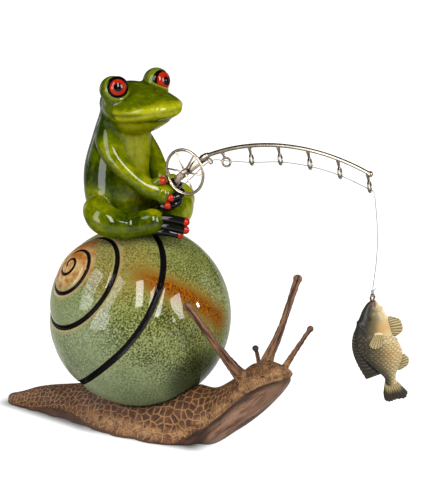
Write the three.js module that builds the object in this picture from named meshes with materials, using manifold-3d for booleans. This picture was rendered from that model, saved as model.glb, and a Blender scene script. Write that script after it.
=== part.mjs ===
// A glazed frog sitting on the shell of a crawling snail, fishing with a plated rod.
// Millimetres, +Z up, +X the way the snail crawls, origin on the floor under the shell.

import * as THREE from 'three';
import { mergeVertices } from 'three/addons/utils/BufferGeometryUtils.js';
import Module from 'manifold-3d';

const wasm = await Module();
wasm.setup();

const degree = Math.PI / 180;

// Clearances
const seamGap = 0.3;
const bearingGap = 0.3;

// Snail body
const bedHeight = 11.7;
const headReach = 89.5;
const headHeight = 48.5;
const tailLength = 72;
const tailSwing = 17;
const bodyHalfWidth = 20.5;
const stalkPegDepth = 2.5;

// Shell
const shellRadius = 45.5;
const spireRise = 4.5;
const spireSpread = 22 * degree;
const whorlBulge = 0.7;
const seamDepth = 0.8;
const shellAxis = new THREE.Vector3(-0.419, -0.664, 0.62).normalize();
const whorlGrowth = 0.597;
const whorlAtEquator = 5.1;
const shellFlatDepth = 0.8;

// Pins inside the castings
const shellPinRadius = 3;
const shellPinDepth = 7;
const shellPinReach = 10;
const frogPinRadius = 2.5;
const frogPinDepth = 9;
const frogPinReach = 12;

// Frog
const frogTurn = -14 * degree;
const eyeHeight = 73;
const eyeSpread = 13.4;
const eyeSetBack = 2.4;
const lidRadius = 6.7;
const eyeRadius = 5.4;
const eyeForward = 3.1;
const eyeSplay = 21 * degree;
const toeRadius = 1.9;
const toeLength = 11;
const fistRadius = 5.6;
const fistDrop = 2;
const fingerRadius = 1.7;
const fingerSpacing = 3;
const fingerWrap = 0.9;
const wristRadius = 4.4;
const wristOffset = 2;

// Fishing rod
const buttForward = 13.2;
const buttHeight = 21.6;
const handleRise = 39.5 * degree;
const handleWidth = 3.6;
const handleThickness = 1.1;
const rightGrip = 2.6;
const leftGrip = 2.5;
const rightReach = 0.6;
const leftReach = 6;
const ferruleRadius = 1.6;
const ferruleLength = 3;
const lugRadius = 1.4;
const blankRadius = 1;
const tipBeyond = 2.6;
const blankBend = 124;
const blankRise = 26 * degree;
const tipCapRadius = 1.45;
const tipCapLap = 0.5;
const tipCapLength = 2;

// Line rings under the rod
const guideCount = 6;
const firstGuide = 9.7;
const guideSpacing = 16.7;
const lineDepth = 8;
const firstLineDepth = 5.8;
const guideLean = 12 * degree;
const firstGuideLean = 40 * degree;
const ringRadius = 2.45;
const firstRingRadius = 2.1;
const ringLift = 1.3;
const firstRingLift = 1;
const ringTurn = 10 * degree;
const firstRingTurn = -25 * degree;
const ringWire = 0.5;
const stemRadius = 0.6;

// Reel wheel
const wheelRadius = 11.7;
const wheelWire = 0.55;
const spokeCount = 6;
const spokeRadius = 0.4;
const hubRadius = 1.9;
const hubLength = 2.6;
const reelAlong = 21.5;
const axleRadius = 0.8;
const axleHeadRadius = 1.5;
const axleHeadLength = 0.7;

// Line and fish
const lineRadius = 0.23;
const lineSides = 8;
const dropLength = 45;
const dropBow = 2;
const bendReach = 2.6;
const bendDrop = 2.4;
const knotRadius = 0.9;
const knotSink = 0.8;
const eyeletRadius = 1.5;
const eyeletWire = 0.4;
const eyeletShank = 4;
const shankRadius = 0.48;
const fishTurn = 36 * degree;
const fishLean = 0.5 * degree;
const fishThickness = 11;

const floorDepth = 20;
const axisX = new THREE.Vector3(1, 0, 0);
const axisY = new THREE.Vector3(0, 1, 0);
const axisZ = new THREE.Vector3(0, 0, 1);

// Solids

function toSolid(geometry) {
  const bare = new THREE.BufferGeometry();
  bare.setAttribute('position', geometry.getAttribute('position').clone());
  bare.setIndex(geometry.getIndex());
  const merged = mergeVertices(bare, 1e-4);
  return new wasm.Manifold(new wasm.Mesh({
    numProp: 3,
    vertProperties: new Float32Array(merged.getAttribute('position').array),
    triVerts: new Uint32Array(merged.getIndex().array),
  }));
}

function toGeometry(solid) {
  const mesh = solid.getMesh();
  const geometry = new THREE.BufferGeometry();
  geometry.setAttribute('position', new THREE.BufferAttribute(mesh.vertProperties, mesh.numProp));
  geometry.setIndex(new THREE.BufferAttribute(mesh.triVerts, 1));
  geometry.computeVertexNormals();
  return geometry;
}

function join(solids) {
  return solids.reduce((whole, piece) => whole.add(piece));
}

function cut(solid, tools) {
  return tools.reduce((left, tool) => left.subtract(tool), solid);
}

// A closed skin over rings of equal point count, with a pole point at each end.
function skin(rings, startPole, endPole) {
  const sides = rings[0].length;
  const points = [startPole, ...rings.flat(), endPole];
  const last = points.length - 1;
  const at = (ring, side) => 1 + ring * sides + (side % sides);
  const index = [];
  for (let side = 0; side < sides; side += 1) {
    index.push(0, at(0, side + 1), at(0, side));
    index.push(last, at(rings.length - 1, side), at(rings.length - 1, side + 1));
    for (let ring = 0; ring < rings.length - 1; ring += 1) {
      index.push(at(ring, side), at(ring, side + 1), at(ring + 1, side));
      index.push(at(ring, side + 1), at(ring + 1, side + 1), at(ring + 1, side));
    }
  }
  const geometry = new THREE.BufferGeometry().setFromPoints(points);
  geometry.setIndex(index);
  return geometry;
}

// A limb: an oval section that swells and narrows along a smooth path, with round ends.
// Each station is [point, half width, half height].
function limb(stations, { sides = 14, steps = 8, grow = 0, up = axisZ, blunt = 1 } = {}) {
  const path = new THREE.CatmullRomCurve3(stations.map(([point]) => point));
  const sizes = new THREE.CatmullRomCurve3(
    stations.map(([, wide, tall]) => new THREE.Vector3(wide, tall ?? wide, 0)),
  );
  const rings = [];
  const ringAt = (t, shift, scale) => {
    const forward = path.getTangent(t);
    const side = new THREE.Vector3().crossVectors(up, forward).normalize();
    const rise = new THREE.Vector3().crossVectors(forward, side);
    const centre = path.getPoint(t).addScaledVector(forward, shift);
    const size = sizes.getPoint(t);
    const ring = [];
    for (let k = 0; k < sides; k += 1) {
      const angle = (k / sides) * 2 * Math.PI;
      ring.push(centre.clone()
        .addScaledVector(side, (size.x + grow) * scale * Math.cos(angle))
        .addScaledVector(rise, (size.y + grow) * scale * Math.sin(angle)));
    }
    return ring;
  };
  const capLength = (t) => (Math.min(sizes.getPoint(t).x, sizes.getPoint(t).y) + grow) * blunt;
  const capAngles = [60 * degree, 30 * degree];
  capAngles.forEach((angle) => rings.push(ringAt(0, -capLength(0) * Math.sin(angle), Math.cos(angle))));
  for (let step = 0; step <= steps; step += 1) {
    rings.push(ringAt(step / steps, 0, 1));
  }
  capAngles.reverse();
  capAngles.forEach((angle) => rings.push(ringAt(1, capLength(1) * Math.sin(angle), Math.cos(angle))));
  const startPole = path.getPoint(0).addScaledVector(path.getTangent(0), -capLength(0));
  const endPole = path.getPoint(1).addScaledVector(path.getTangent(1), capLength(1));
  return toSolid(skin(rings, startPole, endPole));
}

function ball(centre, radius, sides = 16) {
  const geometry = new THREE.SphereGeometry(radius, sides, Math.round(sides * 0.6));
  geometry.translate(centre.x, centre.y, centre.z);
  return toSolid(geometry);
}

// A round bar from one point to another.
function bar(from, to, radius, sides = 16, endRadius = radius) {
  const length = from.distanceTo(to);
  const geometry = new THREE.CylinderGeometry(endRadius, radius, length, sides);
  const turn = new THREE.Quaternion().setFromUnitVectors(axisY, to.clone().sub(from).normalize());
  const middle = from.clone().lerp(to, 0.5);
  geometry.applyQuaternion(turn).translate(middle.x, middle.y, middle.z);
  return toSolid(geometry);
}

function tube(curve, radius, sides, steps) {
  const section = new THREE.Shape();
  section.absarc(0, 0, radius, 0, 2 * Math.PI);
  return new THREE.ExtrudeGeometry(section, {
    steps,
    curveSegments: sides / 2,
    bevelEnabled: false,
    extrudePath: curve,
  });
}

// Places

const shellCentre = new THREE.Vector3(0, 0, bedHeight + seamGap + shellRadius);
const frogSeat = new THREE.Vector3(0, 0, shellCentre.z + shellRadius - shellFlatDepth);

function frogPoint(forward, left, height) {
  return new THREE.Vector3(forward, left, height).applyAxisAngle(axisZ, frogTurn).add(frogSeat);
}

const butt = frogSeat.clone().add(new THREE.Vector3(buttForward, 0, buttHeight));
const handleLength = reelAlong + wheelRadius + bearingGap + ferruleLength;
const handleWay = new THREE.Vector3(Math.cos(handleRise), 0, Math.sin(handleRise));
const handleUp = new THREE.Vector3(-Math.sin(handleRise), 0, Math.cos(handleRise));
const handleAt = (distance) => butt.clone().addScaledVector(handleWay, distance);
const blankStart = handleAt(handleLength);

const guideAlong = (number) => firstGuide + guideSpacing * number;
const blankLength = guideAlong(guideCount - 1) + tipBeyond;

// The round rod bends down evenly from the ferrule to the tip.
class RodCurve extends THREE.Curve {
  getPoint(t, target = new THREE.Vector3()) {
    const slope = blankRise - (t * blankLength) / blankBend;
    return target.set(
      blankStart.x + blankBend * (Math.sin(blankRise) - Math.sin(slope)),
      0,
      blankStart.z + blankBend * (Math.cos(slope) - Math.cos(blankRise)),
    );
  }
}
const rodCurve = new RodCurve();
const leanOf = (number) => (number === 0 ? firstGuideLean : guideLean);
const guideHang = (number) => new THREE.Vector3(Math.sin(leanOf(number)), 0, -Math.cos(leanOf(number)));
const ringSize = (number) => (number === 0 ? firstRingRadius : ringRadius);

// The line passes at a set depth under the rod and lies low in each ring.
const lineSeat = (number) => rodCurve.getPoint(guideAlong(number) / blankLength)
  .addScaledVector(guideHang(number), number === 0 ? firstLineDepth : lineDepth);
const ringCentre = (number) => lineSeat(number)
  .addScaledVector(guideHang(number), number === 0 ? -firstRingLift : -ringLift);

// Snail

// Each section is [share of the way from tail to snout, share of the tail's swing, share of the half width,
// share of the head's height at the bottom and at the top, narrowing towards the top].
const footShares = [
  [0, 1, 0.107, 0.025, 0.091, 0.1],
  [0.043, 0.97, 0.268, -0.031, 0.144, 0.2],
  [0.099, 0.735, 0.463, -0.062, 0.216, 0.3],
  [0.186, 0.5, 0.659, -0.082, 0.278, 0.35],
  [0.297, 0.206, 0.878, -0.103, 0.35, 0.35],
  [0.415, 0.03, 1, -0.103, 0.454, 0.35],
  [0.533, 0, 0.976, -0.103, 0.495, 0.35],
  [0.644, 0, 0.854, -0.082, 0.577, 0.35],
  [0.731, 0, 0.732, -0.01, 0.598, 0.35],
  [0.799, 0, 0.634, 0.155, 0.742, 0.3],
  [0.861, 0, 0.576, 0.32, 0.897, 0.2],
  [0.913, 0, 0.512, 0.485, 0.969, 0.1],
  [0.963, 0, 0.43, 0.67, 1, 0.1],
  [1, 0, 0.244, 0.845, 0.979, 0.1],
];
const footSections = footShares.map(([along, swing, wide, low, high, taper]) => [
  -tailLength + along * (tailLength + headReach),
  -tailSwing * swing,
  bodyHalfWidth * wide,
  headHeight * low,
  headHeight * high,
  taper,
]);

function footSolid() {
  const sides = 18;
  const stretch = 2;
  const track = new THREE.CatmullRomCurve3(footSections.map(([x, y]) => new THREE.Vector3(x, y, 0)));
  const sizes = new THREE.CatmullRomCurve3(
    footSections.map(([, , half, low, high]) => new THREE.Vector3(half, low, high)),
  );
  const tapers = new THREE.CatmullRomCurve3(footSections.map((row) => new THREE.Vector3(row[5], 0, 0)));
  const steps = (footSections.length - 1) * stretch;
  const rings = [];
  for (let step = 0; step <= steps; step += 1) {
    const t = step / steps;
    const centre = track.getPoint(t);
    const size = sizes.getPoint(t);
    const taper = tapers.getPoint(t).x;
    const ring = [];
    for (let k = 0; k < sides; k += 1) {
      const angle = (k / sides) * 2 * Math.PI;
      const lift = (1 + Math.sin(angle)) / 2;
      const reach = size.x * Math.cos(angle) * (1 - taper * lift);
      ring.push(new THREE.Vector3(centre.x, centre.y + reach, size.y + (size.z - size.y) * lift));
    }
    rings.push(ring);
  }
  const poleAt = (section, shift) => new THREE.Vector3(
    section[0] + shift,
    section[1],
    (section[3] + section[4]) / 2,
  );
  const body = toSolid(skin(rings, poleAt(footSections[0], -1), poleAt(footSections.at(-1), 1.5)));
  const floor = new THREE.BoxGeometry(4 * headReach, 4 * headReach, floorDepth);
  floor.translate(0, 0, -floorDepth / 2);
  return body.subtract(toSolid(floor));
}

// Each stalk leans out of the head from its root to its ball end.
const headTop = (back, left, drop) => new THREE.Vector3(headReach - back, left, headHeight - drop);
const stalks = [
  {
    name: 'eye_stalk_right',
    path: [
      headTop(21.5, -4.5, 11),
      headTop(24.5, -8.5, 4.5),
      headTop(30, -14, -6.7),
      headTop(35, -19.5, -18.3),
      headTop(40.6, -26, -30.9),
    ],
    radii: [3.4, 3, 2.2, 1.8, 1.7],
    tip: 2.3,
  },
  {
    name: 'eye_stalk_left',
    path: [
      headTop(16.5, 4.5, 6),
      headTop(16, 7, -1),
      headTop(15.8, 12, -8.9),
      headTop(13.8, 17.5, -18.9),
      headTop(11.8, 25, -36.6),
    ],
    radii: [3.4, 2.8, 2.1, 1.7, 1.7],
    tip: 2.3,
  },
  {
    name: 'feeler_right',
    path: [headTop(10.5, -5, 8), headTop(9.9, -7, 3.8), headTop(9.3, -11, -5.2), headTop(8.2, -15.5, -13.6)],
    radii: [1.6, 1.4, 1.1, 1],
    tip: 1.6,
  },
  {
    name: 'feeler_left',
    path: [headTop(5.5, 3, 4), headTop(4, 5.5, -0.7), headTop(1.6, 11, -7.9), headTop(-1, 17.5, -15.6)],
    radii: [1.7, 1.5, 1.2, 1.1],
    tip: 1.7,
  },
];

function stalkSolid({ path, radii, tip }, grow = 0) {
  const stem = limb(path.map((point, k) => [point, radii[k], radii[k]]), {
    sides: 8,
    steps: 6,
    grow,
    up: axisX,
    blunt: stalkPegDepth / radii[0] / 2,
  });
  return stem.add(ball(path.at(-1), tip + grow, 10));
}

// Shell

// The seam climbs the globe at a steady angle, so each turn lies on one spiral row of points.
function shellSolid(grow = 0) {
  const turnSteps = 30;
  const innerTurn = 0;
  const outerTurn = 8;
  const rowPlaces = [0, 0.07, 0.5, 0.93];
  const rowCount = rowPlaces.length;
  const firstRow = innerTurn * rowCount;
  const lastRow = outerTurn * rowCount;
  const lastSeam = 5.6;
  const start = new THREE.Vector3().crossVectors(shellAxis, axisZ).cross(shellAxis).normalize();
  const right = new THREE.Vector3().crossVectors(start, shellAxis);
  const flat = frogSeat.z + grow;
  const points = [];
  const places = new Map();
  const pointAt = (polar, turn, radius) => new THREE.Vector3()
    .addScaledVector(shellAxis, radius * Math.cos(polar))
    .addScaledVector(start, radius * Math.sin(polar) * Math.cos(turn))
    .addScaledVector(right, radius * Math.sin(polar) * Math.sin(turn))
    .add(shellCentre);
  const vertex = (column, row) => {
    const wraps = Math.floor(column / turnSteps);
    const key = `${column - wraps * turnSteps},${row + wraps * rowCount}`;
    if (!places.has(key)) {
      const place = row / rowCount;
      const whorl = Math.floor(place) + rowPlaces[((row % rowCount) + rowCount) % rowCount];
      const along = whorl + column / turnSteps;
      const across = whorl - Math.floor(whorl);
      const polar = 2 * Math.atan(Math.exp(whorlGrowth * (along - whorlAtEquator)));
      const spire = spireRise * Math.exp(-((polar / spireSpread) ** 2));
      const fade = along < lastSeam ? 1 : 0;
      const relief = fade * (across === 0 ? -seamDepth : whorlBulge * (Math.sin(Math.PI * across) - 1));
      points.push(pointAt(polar, (column / turnSteps) * 2 * Math.PI, shellRadius + spire + relief + grow));
      places.set(key, points.length - 1);
    }
    return places.get(key);
  };
  const index = [];
  for (let column = 0; column < turnSteps; column += 1) {
    for (let row = firstRow; row < lastRow; row += 1) {
      index.push(vertex(column, row), vertex(column + 1, row), vertex(column, row + 1));
      index.push(vertex(column, row + 1), vertex(column + 1, row), vertex(column + 1, row + 1));
    }
  }
  const apex = points.push(pointAt(0, 0, shellRadius + spireRise + grow)) - 1;
  const foot = points.push(pointAt(Math.PI, 0, shellRadius + grow)) - 1;
  for (let column = 0; column < turnSteps; column += 1) {
    index.push(apex, vertex(column + 1, firstRow), vertex(column, firstRow));
    index.push(foot, vertex(column, lastRow), vertex(column + 1, lastRow));
  }
  for (let row = 0; row < rowCount; row += 1) {
    index.push(apex, vertex(0, firstRow + row), vertex(0, firstRow + row + 1));
    index.push(foot, vertex(0, lastRow + row + 1), vertex(0, lastRow + row));
  }
  const geometry = new THREE.BufferGeometry().setFromPoints(points);
  geometry.setIndex(index);
  const lid = new THREE.BoxGeometry(2 * shellRadius, 2 * shellRadius, shellRadius);
  lid.translate(shellCentre.x, shellCentre.y, flat + shellRadius / 2);
  return toSolid(geometry).subtract(toSolid(lid));
}

// Pins

const shellPinFrom = new THREE.Vector3(shellCentre.x, shellCentre.y, bedHeight - shellPinDepth);
const shellPinTo = new THREE.Vector3(shellCentre.x, shellCentre.y, bedHeight + shellPinReach);
const frogPinFrom = frogSeat.clone().addScaledVector(axisZ, -frogPinDepth);
const frogPinTo = frogSeat.clone().addScaledVector(axisZ, frogPinReach);

function pinSolid(from, to, radius, grow = 0) {
  const slack = axisZ.clone().multiplyScalar(grow);
  return bar(from.clone().sub(slack), to.clone().add(slack), radius + grow, 18);
}

// Frog

const torsoStations = [
  [-9, 3.5, 16, 13],
  [-12, 14, 18.5, 17],
  [-14, 29, 18, 17.5],
  [-14, 44, 15.5, 14.5],
  [-11.5, 55, 13.5, 12],
  [-9, 62, 12.5, 11],
];
const headStations = [
  [-16, 61.5, 10, 9],
  [-9, 62, 15, 12],
  [1, 62, 17.5, 11.8],
  [10, 63.2, 15.5, 10],
  [17.5, 65, 13, 7.2],
  [22.4, 66.4, 9.6, 4.6],
];
const rightThigh = [[-12, -8, 11, 10], [-6, -16, 11.5, 10], [0, -22.5, 11.8, 9.4]];
const rightShin = [[-1, -21.5, 11.3, 9.4], [8, -15, 9.8, 8.4], [15, -6.5, 8.8, 7.2], [20.5, -0.5, 8, 6.2]];
const leftThigh = [[-12, 8, 11, 10], [-5, 16, 11.5, 10], [2, 22.5, 12, 9]];
const leftShin = [[2, 22, 11, 9], [11, 15, 9.5, 8], [17, 8, 8, 6.5]];
const toeWay = frogPoint(Math.cos(50 * degree), Math.sin(50 * degree), 0).sub(frogSeat).normalize();
const toeHeights = [3.2, 6.9, 10.6, 14];

const frogLimb = (rows, options) => limb(rows.map(([x, y, z, r]) => [frogPoint(x, y, z), r, r]), options);

function lidCentre(side) {
  return frogPoint(-eyeSetBack, side * eyeSpread, eyeHeight);
}

function eyeCentre(side) {
  const forward = -eyeSetBack + eyeForward * Math.cos(eyeSplay);
  return frogPoint(forward, side * (eyeSpread + eyeForward * Math.sin(eyeSplay)), eyeHeight);
}

function toeSolids(grow) {
  const root = frogPoint(...rightShin.at(-1).slice(0, 3));
  return toeHeights.map((height) => {
    const heel = new THREE.Vector3(root.x, root.y, frogSeat.z + (height + 8) / 2);
    const tip = new THREE.Vector3(root.x, root.y, frogSeat.z + height).addScaledVector(toeWay, toeLength);
    const knuckle = heel.clone().lerp(tip, 0.55);
    return limb([[heel, toeRadius * 1.3], [knuckle, toeRadius * 1.05], [tip, toeRadius]], {
      sides: 7,
      steps: 2,
      grow,
    });
  });
}

function frogBodySolid(grow = 0) {
  const torso = limb(torsoStations.map(([x, z, wide, deep]) => [frogPoint(x, 0, z), wide, deep]), {
    sides: 16,
    steps: 8,
    grow,
    up: axisX.clone().applyAxisAngle(axisZ, frogTurn),
    blunt: 0.3,
  });
  const head = limb(headStations.map(([x, z, wide, tall]) => [frogPoint(x, 0, z), wide, tall]), {
    sides: 16,
    steps: 9,
    grow,
  });
  const lids = [-1, 1].map((side) => ball(lidCentre(side), lidRadius + grow, 14));
  const legs = [rightThigh, rightShin, leftThigh, leftShin]
    .map((rows) => frogLimb(rows, { sides: 12, steps: 4, grow }));
  return join([torso, head, ...lids, ...legs, ...toeSolids(grow)]);
}

function eyeSolid(side, grow = 0) {
  return ball(eyeCentre(side), eyeRadius + grow, 14);
}

// Each arm runs from its shoulder to a fist closed on the rod's handle.
const arms = {
  right: {
    grip: rightGrip,
    reach: rightReach,
    curl: [100, 175, 250],
    sleeve: [[-11, -12.5, 43, 6.8], [-5, -16.5, 37, 6.4], [2.5, -17.5, 29.5, 5.8], [9.5, -13.5, 23.5, 5.4]],
    side: -1,
  },
  left: {
    grip: leftGrip,
    reach: leftReach,
    curl: [60, 125, 190],
    sleeve: [[-12, 10, 43, 6.2], [-5, 11.5, 36.5, 5.2], [3, 10, 30, 4.7], [10, 8.5, 26.5, 4.4]],
    side: 1,
  },
};

function fistCentre({ grip, reach, side }) {
  return handleAt(grip).addScaledVector(axisY, side * reach).addScaledVector(handleUp, -fistDrop);
}

function armSolid(arm, grow = 0) {
  const { curl, sleeve, side } = arm;
  const fist = fistCentre(arm);
  const wrist = fist.clone().addScaledVector(axisY, side * wristOffset).addScaledVector(axisX, -wristOffset);
  const stations = sleeve.map(([x, y, z, r]) => [frogPoint(x, y, z), r, r]);
  stations.push([wrist, wristRadius, wristRadius]);
  const palm = ball(fist, fistRadius + grow, 12);
  const fingers = [-1, 0, 1].map((row) => {
    const knuckles = curl.map((angle) => fist.clone()
      .addScaledVector(handleWay, row * fingerSpacing)
      .addScaledVector(handleUp, Math.cos(angle * degree) * fistRadius * fingerWrap)
      .addScaledVector(axisY, -side * Math.sin(angle * degree) * fistRadius * fingerWrap));
    return limb(knuckles.map((point) => [point, fingerRadius]), { sides: 6, steps: 3, grow, up: handleWay });
  });
  return join([limb(stations, { sides: 12, steps: 6, grow }), palm, ...fingers]);
}

// Rod

function handleSolid(grow = 0) {
  const half = handleWidth / 2 + grow;
  const outline = new THREE.Shape();
  outline.absarc(0, 0, half, 0.5 * Math.PI, 1.5 * Math.PI);
  outline.lineTo(handleLength - ferruleLength / 2 + grow, -half);
  outline.lineTo(handleLength - ferruleLength / 2 + grow, half);
  const thickness = handleThickness + 2 * grow;
  const strip = new THREE.ExtrudeGeometry(outline, { depth: thickness, bevelEnabled: false, curveSegments: 8 });
  strip.translate(0, 0, -thickness / 2);
  strip.rotateX(0.5 * Math.PI);
  strip.rotateY(-handleRise);
  strip.translate(butt.x, butt.y, butt.z);
  return toSolid(strip);
}

function blankSolid(grow = 0) {
  return toSolid(tube(rodCurve, blankRadius + grow, 10, 20));
}

const lugDrop = handleWidth / 2 + seamGap + lugRadius * 0.7;
const lugCentre = blankStart.clone().addScaledVector(handleUp, -lugDrop);

function ferruleSolid() {
  const from = handleAt(handleLength - ferruleLength);
  const collar = bar(from, blankStart, ferruleRadius + handleWidth / 4, 10, ferruleRadius);
  const neck = bar(blankStart, rodCurve.getPoint(ferruleLength / 2 / blankLength), ferruleRadius, 10);
  const lug = new THREE.TorusGeometry(lugRadius, ringWire * 0.8, 5, 10);
  lug.rotateY(0.5 * Math.PI - handleRise);
  lug.translate(lugCentre.x, lugCentre.y, lugCentre.z);
  return cut(join([collar, neck, toSolid(lug)]), [handleSolid(seamGap), blankSolid(seamGap)]);
}

function tipCapSolid() {
  const end = rodCurve.getPoint(1);
  const way = rodCurve.getTangent(1);
  const from = end.clone().addScaledVector(way, -tipCapLap);
  const to = end.clone().addScaledVector(way, tipCapLength);
  const seat = end.clone().addScaledVector(way, seamGap);
  return bar(from, to, tipCapRadius, 14).subtract(bar(from.clone().sub(way), seat, blankRadius + seamGap, 14));
}

function guideSolid(number) {
  const along = guideAlong(number) / blankLength;
  const seat = rodCurve.getPoint(along);
  const hang = guideHang(number);
  const centre = ringCentre(number);
  const ring = new THREE.TorusGeometry(ringSize(number), ringWire, 5, 14);
  ring.rotateY(0.5 * Math.PI);
  ring.rotateZ(number === 0 ? firstRingTurn : ringTurn);
  ring.rotateY(-leanOf(number));
  ring.translate(centre.x, centre.y, centre.z);
  const top = seat.clone().addScaledVector(hang, blankRadius * 0.5);
  const bottom = centre.clone().addScaledVector(hang, -ringSize(number));
  const stem = bar(top, bottom, stemRadius * 1.5, 8, stemRadius * 0.8);
  return cut(stem.add(toSolid(ring)), [blankSolid(seamGap)]);
}

// Reel

const hubGap = handleThickness / 2 + bearingGap;
const hubInner = handleAt(reelAlong).addScaledVector(axisY, -hubGap);
const hubOuter = hubInner.clone().addScaledVector(axisY, -hubLength);
const hubMiddle = hubInner.clone().lerp(hubOuter, 0.5);

function wheelSolid() {
  const rim = new THREE.TorusGeometry(wheelRadius - wheelWire, wheelWire, 6, 36);
  rim.rotateX(0.5 * Math.PI);
  rim.translate(hubMiddle.x, hubMiddle.y, hubMiddle.z);
  const spokes = [];
  for (let k = 0; k < spokeCount; k += 1) {
    const angle = (k / spokeCount) * 2 * Math.PI;
    const end = hubMiddle.clone();
    end.x += (wheelRadius - wheelWire) * Math.cos(angle);
    end.z += (wheelRadius - wheelWire) * Math.sin(angle);
    spokes.push(bar(hubMiddle, end, spokeRadius, 6));
  }
  const hub = bar(hubInner, hubOuter, hubRadius, 16);
  const beyond = axisY.clone().multiplyScalar(1);
  const bore = bar(hubInner.clone().add(beyond), hubOuter.clone().sub(beyond), axleRadius + bearingGap, 16);
  return join([toSolid(rim), ...spokes, hub]).subtract(bore);
}

const axleInner = handleAt(reelAlong).addScaledVector(axisY, handleThickness / 2);
const axleOuter = hubOuter.clone().addScaledVector(axisY, -bearingGap);

function axleSolid() {
  const headEnd = axleOuter.clone().addScaledVector(axisY, -axleHeadLength);
  const shaftEnd = axleOuter.clone().lerp(headEnd, 0.5);
  return bar(axleInner, shaftEnd, axleRadius, 16).add(bar(axleOuter, headEnd, axleHeadRadius, 16));
}

function axleHole() {
  const outside = axisY.clone().multiplyScalar(2);
  return bar(axleInner.clone().add(outside), hubInner.clone().sub(outside), axleRadius + seamGap, 16);
}

// Line

const tipSeat = lineSeat(guideCount - 1);
const tieAhead = rightGrip + fistRadius / 3;
const bendTop = tipSeat.clone().add(new THREE.Vector3(bendReach * 0.65, 0, -bendDrop * 0.25));
const hangTop = tipSeat.clone().add(new THREE.Vector3(bendReach, 0, -bendDrop));
const lineTie = handleAt(tieAhead).addScaledVector(handleUp, -fistDrop - fistRadius / 2);
const runEnd = tipSeat.clone().addScaledVector(axisX, -seamGap);
const knotTop = hangTop.clone().addScaledVector(axisZ, -dropLength);

const runPoints = [
  lineTie,
  lineTie.clone().lerp(lugCentre, 0.5),
  lugCentre,
  ...Array.from({ length: guideCount - 1 }, (_, number) => lineSeat(number)),
  runEnd,
];

const runSteps = 44;

function lineSolid(points, steps, grow = 0) {
  return toSolid(tube(new THREE.CatmullRomCurve3(points), lineRadius + grow, lineSides, steps));
}

function lineBendSolid() {
  const to = hangTop.clone().addScaledVector(axisZ, seamGap);
  return lineSolid([tipSeat, bendTop, to], 6);
}

function lineDropSolid() {
  const points = [0, 0.15, 0.5, 0.85, 1].map((t) => hangTop.clone().lerp(knotTop, t)
    .addScaledVector(axisX, dropBow * Math.sin(Math.PI * t)));
  return lineSolid(points, 20);
}

// Fish

const loopRadius = eyeletWire + seamGap + lineRadius;
const knotMiddle = knotTop.clone().addScaledVector(axisZ, -knotRadius - seamGap);
const eyeletTop = knotMiddle.clone().addScaledVector(axisZ, -knotSink * knotRadius - loopRadius);
const eyeletCentre = eyeletTop.clone().addScaledVector(axisZ, -eyeletRadius);

// The line's last loop goes round the top of the eyelet and up into the knot.
function knotSolid() {
  const loop = new THREE.TorusGeometry(loopRadius, lineRadius, 6, 14);
  loop.rotateY(0.5 * Math.PI);
  loop.rotateZ(fishTurn);
  loop.translate(eyeletTop.x, eyeletTop.y, eyeletTop.z);
  return ball(knotMiddle, knotRadius, 10).add(toSolid(loop));
}

function turnFish(geometry) {
  geometry.rotateY(-fishLean);
  geometry.rotateZ(fishTurn);
  geometry.translate(eyeletCentre.x, eyeletCentre.y, eyeletCentre.z);
  return geometry;
}

function fishPoint(across, out, down) {
  return new THREE.Vector3(across, out, -down)
    .applyAxisAngle(axisY, -fishLean)
    .applyAxisAngle(axisZ, fishTurn)
    .add(eyeletCentre);
}

function eyeletSolid() {
  const ring = turnFish(new THREE.TorusGeometry(eyeletRadius, eyeletWire, 6, 16).rotateX(0.5 * Math.PI));
  const shank = bar(fishPoint(0, 0, eyeletRadius), fishPoint(0, 0, eyeletRadius + eyeletShank), shankRadius, 8);
  return toSolid(ring).add(shank);
}

function shankHole() {
  const above = fishPoint(0, 0, eyeletRadius - 1);
  const below = fishPoint(0, 0, eyeletRadius + eyeletShank + seamGap);
  const ringRoom = ball(fishPoint(0, 0, 0), eyeletRadius + eyeletWire + seamGap, 12);
  return bar(above, below, shankRadius + seamGap, 8).add(ringRoom);
}

// Each station is [across, down, half depth, half thickness as a share of the fish's thickness].
const fishStations = [
  [0.1, 4.2, 3.1, 0.22],
  [0.5, 9, 6.4, 0.38],
  [0.7, 15, 8.3, 0.5],
  [1.6, 20, 9.5, 0.52],
  [3.4, 24.5, 10.2, 0.5],
  [5, 29.5, 9.3, 0.42],
  [6.5, 34.4, 6.2, 0.28],
  [8.2, 38.6, 3.3, 0.18],
  [8.9, 42, 2.6, 0.13],
];

// A fin is a thin plate with a rounded edge, drawn flat and set in the fish's own plane.
function finSolid(outline, thickness) {
  const shape = new THREE.Shape();
  shape.moveTo(...outline[0]);
  shape.splineThru(outline.slice(1).map(([x, y]) => new THREE.Vector2(x, y)));
  const plate = new THREE.ExtrudeGeometry(shape, { depth: thickness, bevelEnabled: false, curveSegments: 2 });
  plate.translate(0, 0, -thickness / 2);
  plate.rotateX(0.5 * Math.PI);
  return toSolid(turnFish(plate));
}

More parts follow.
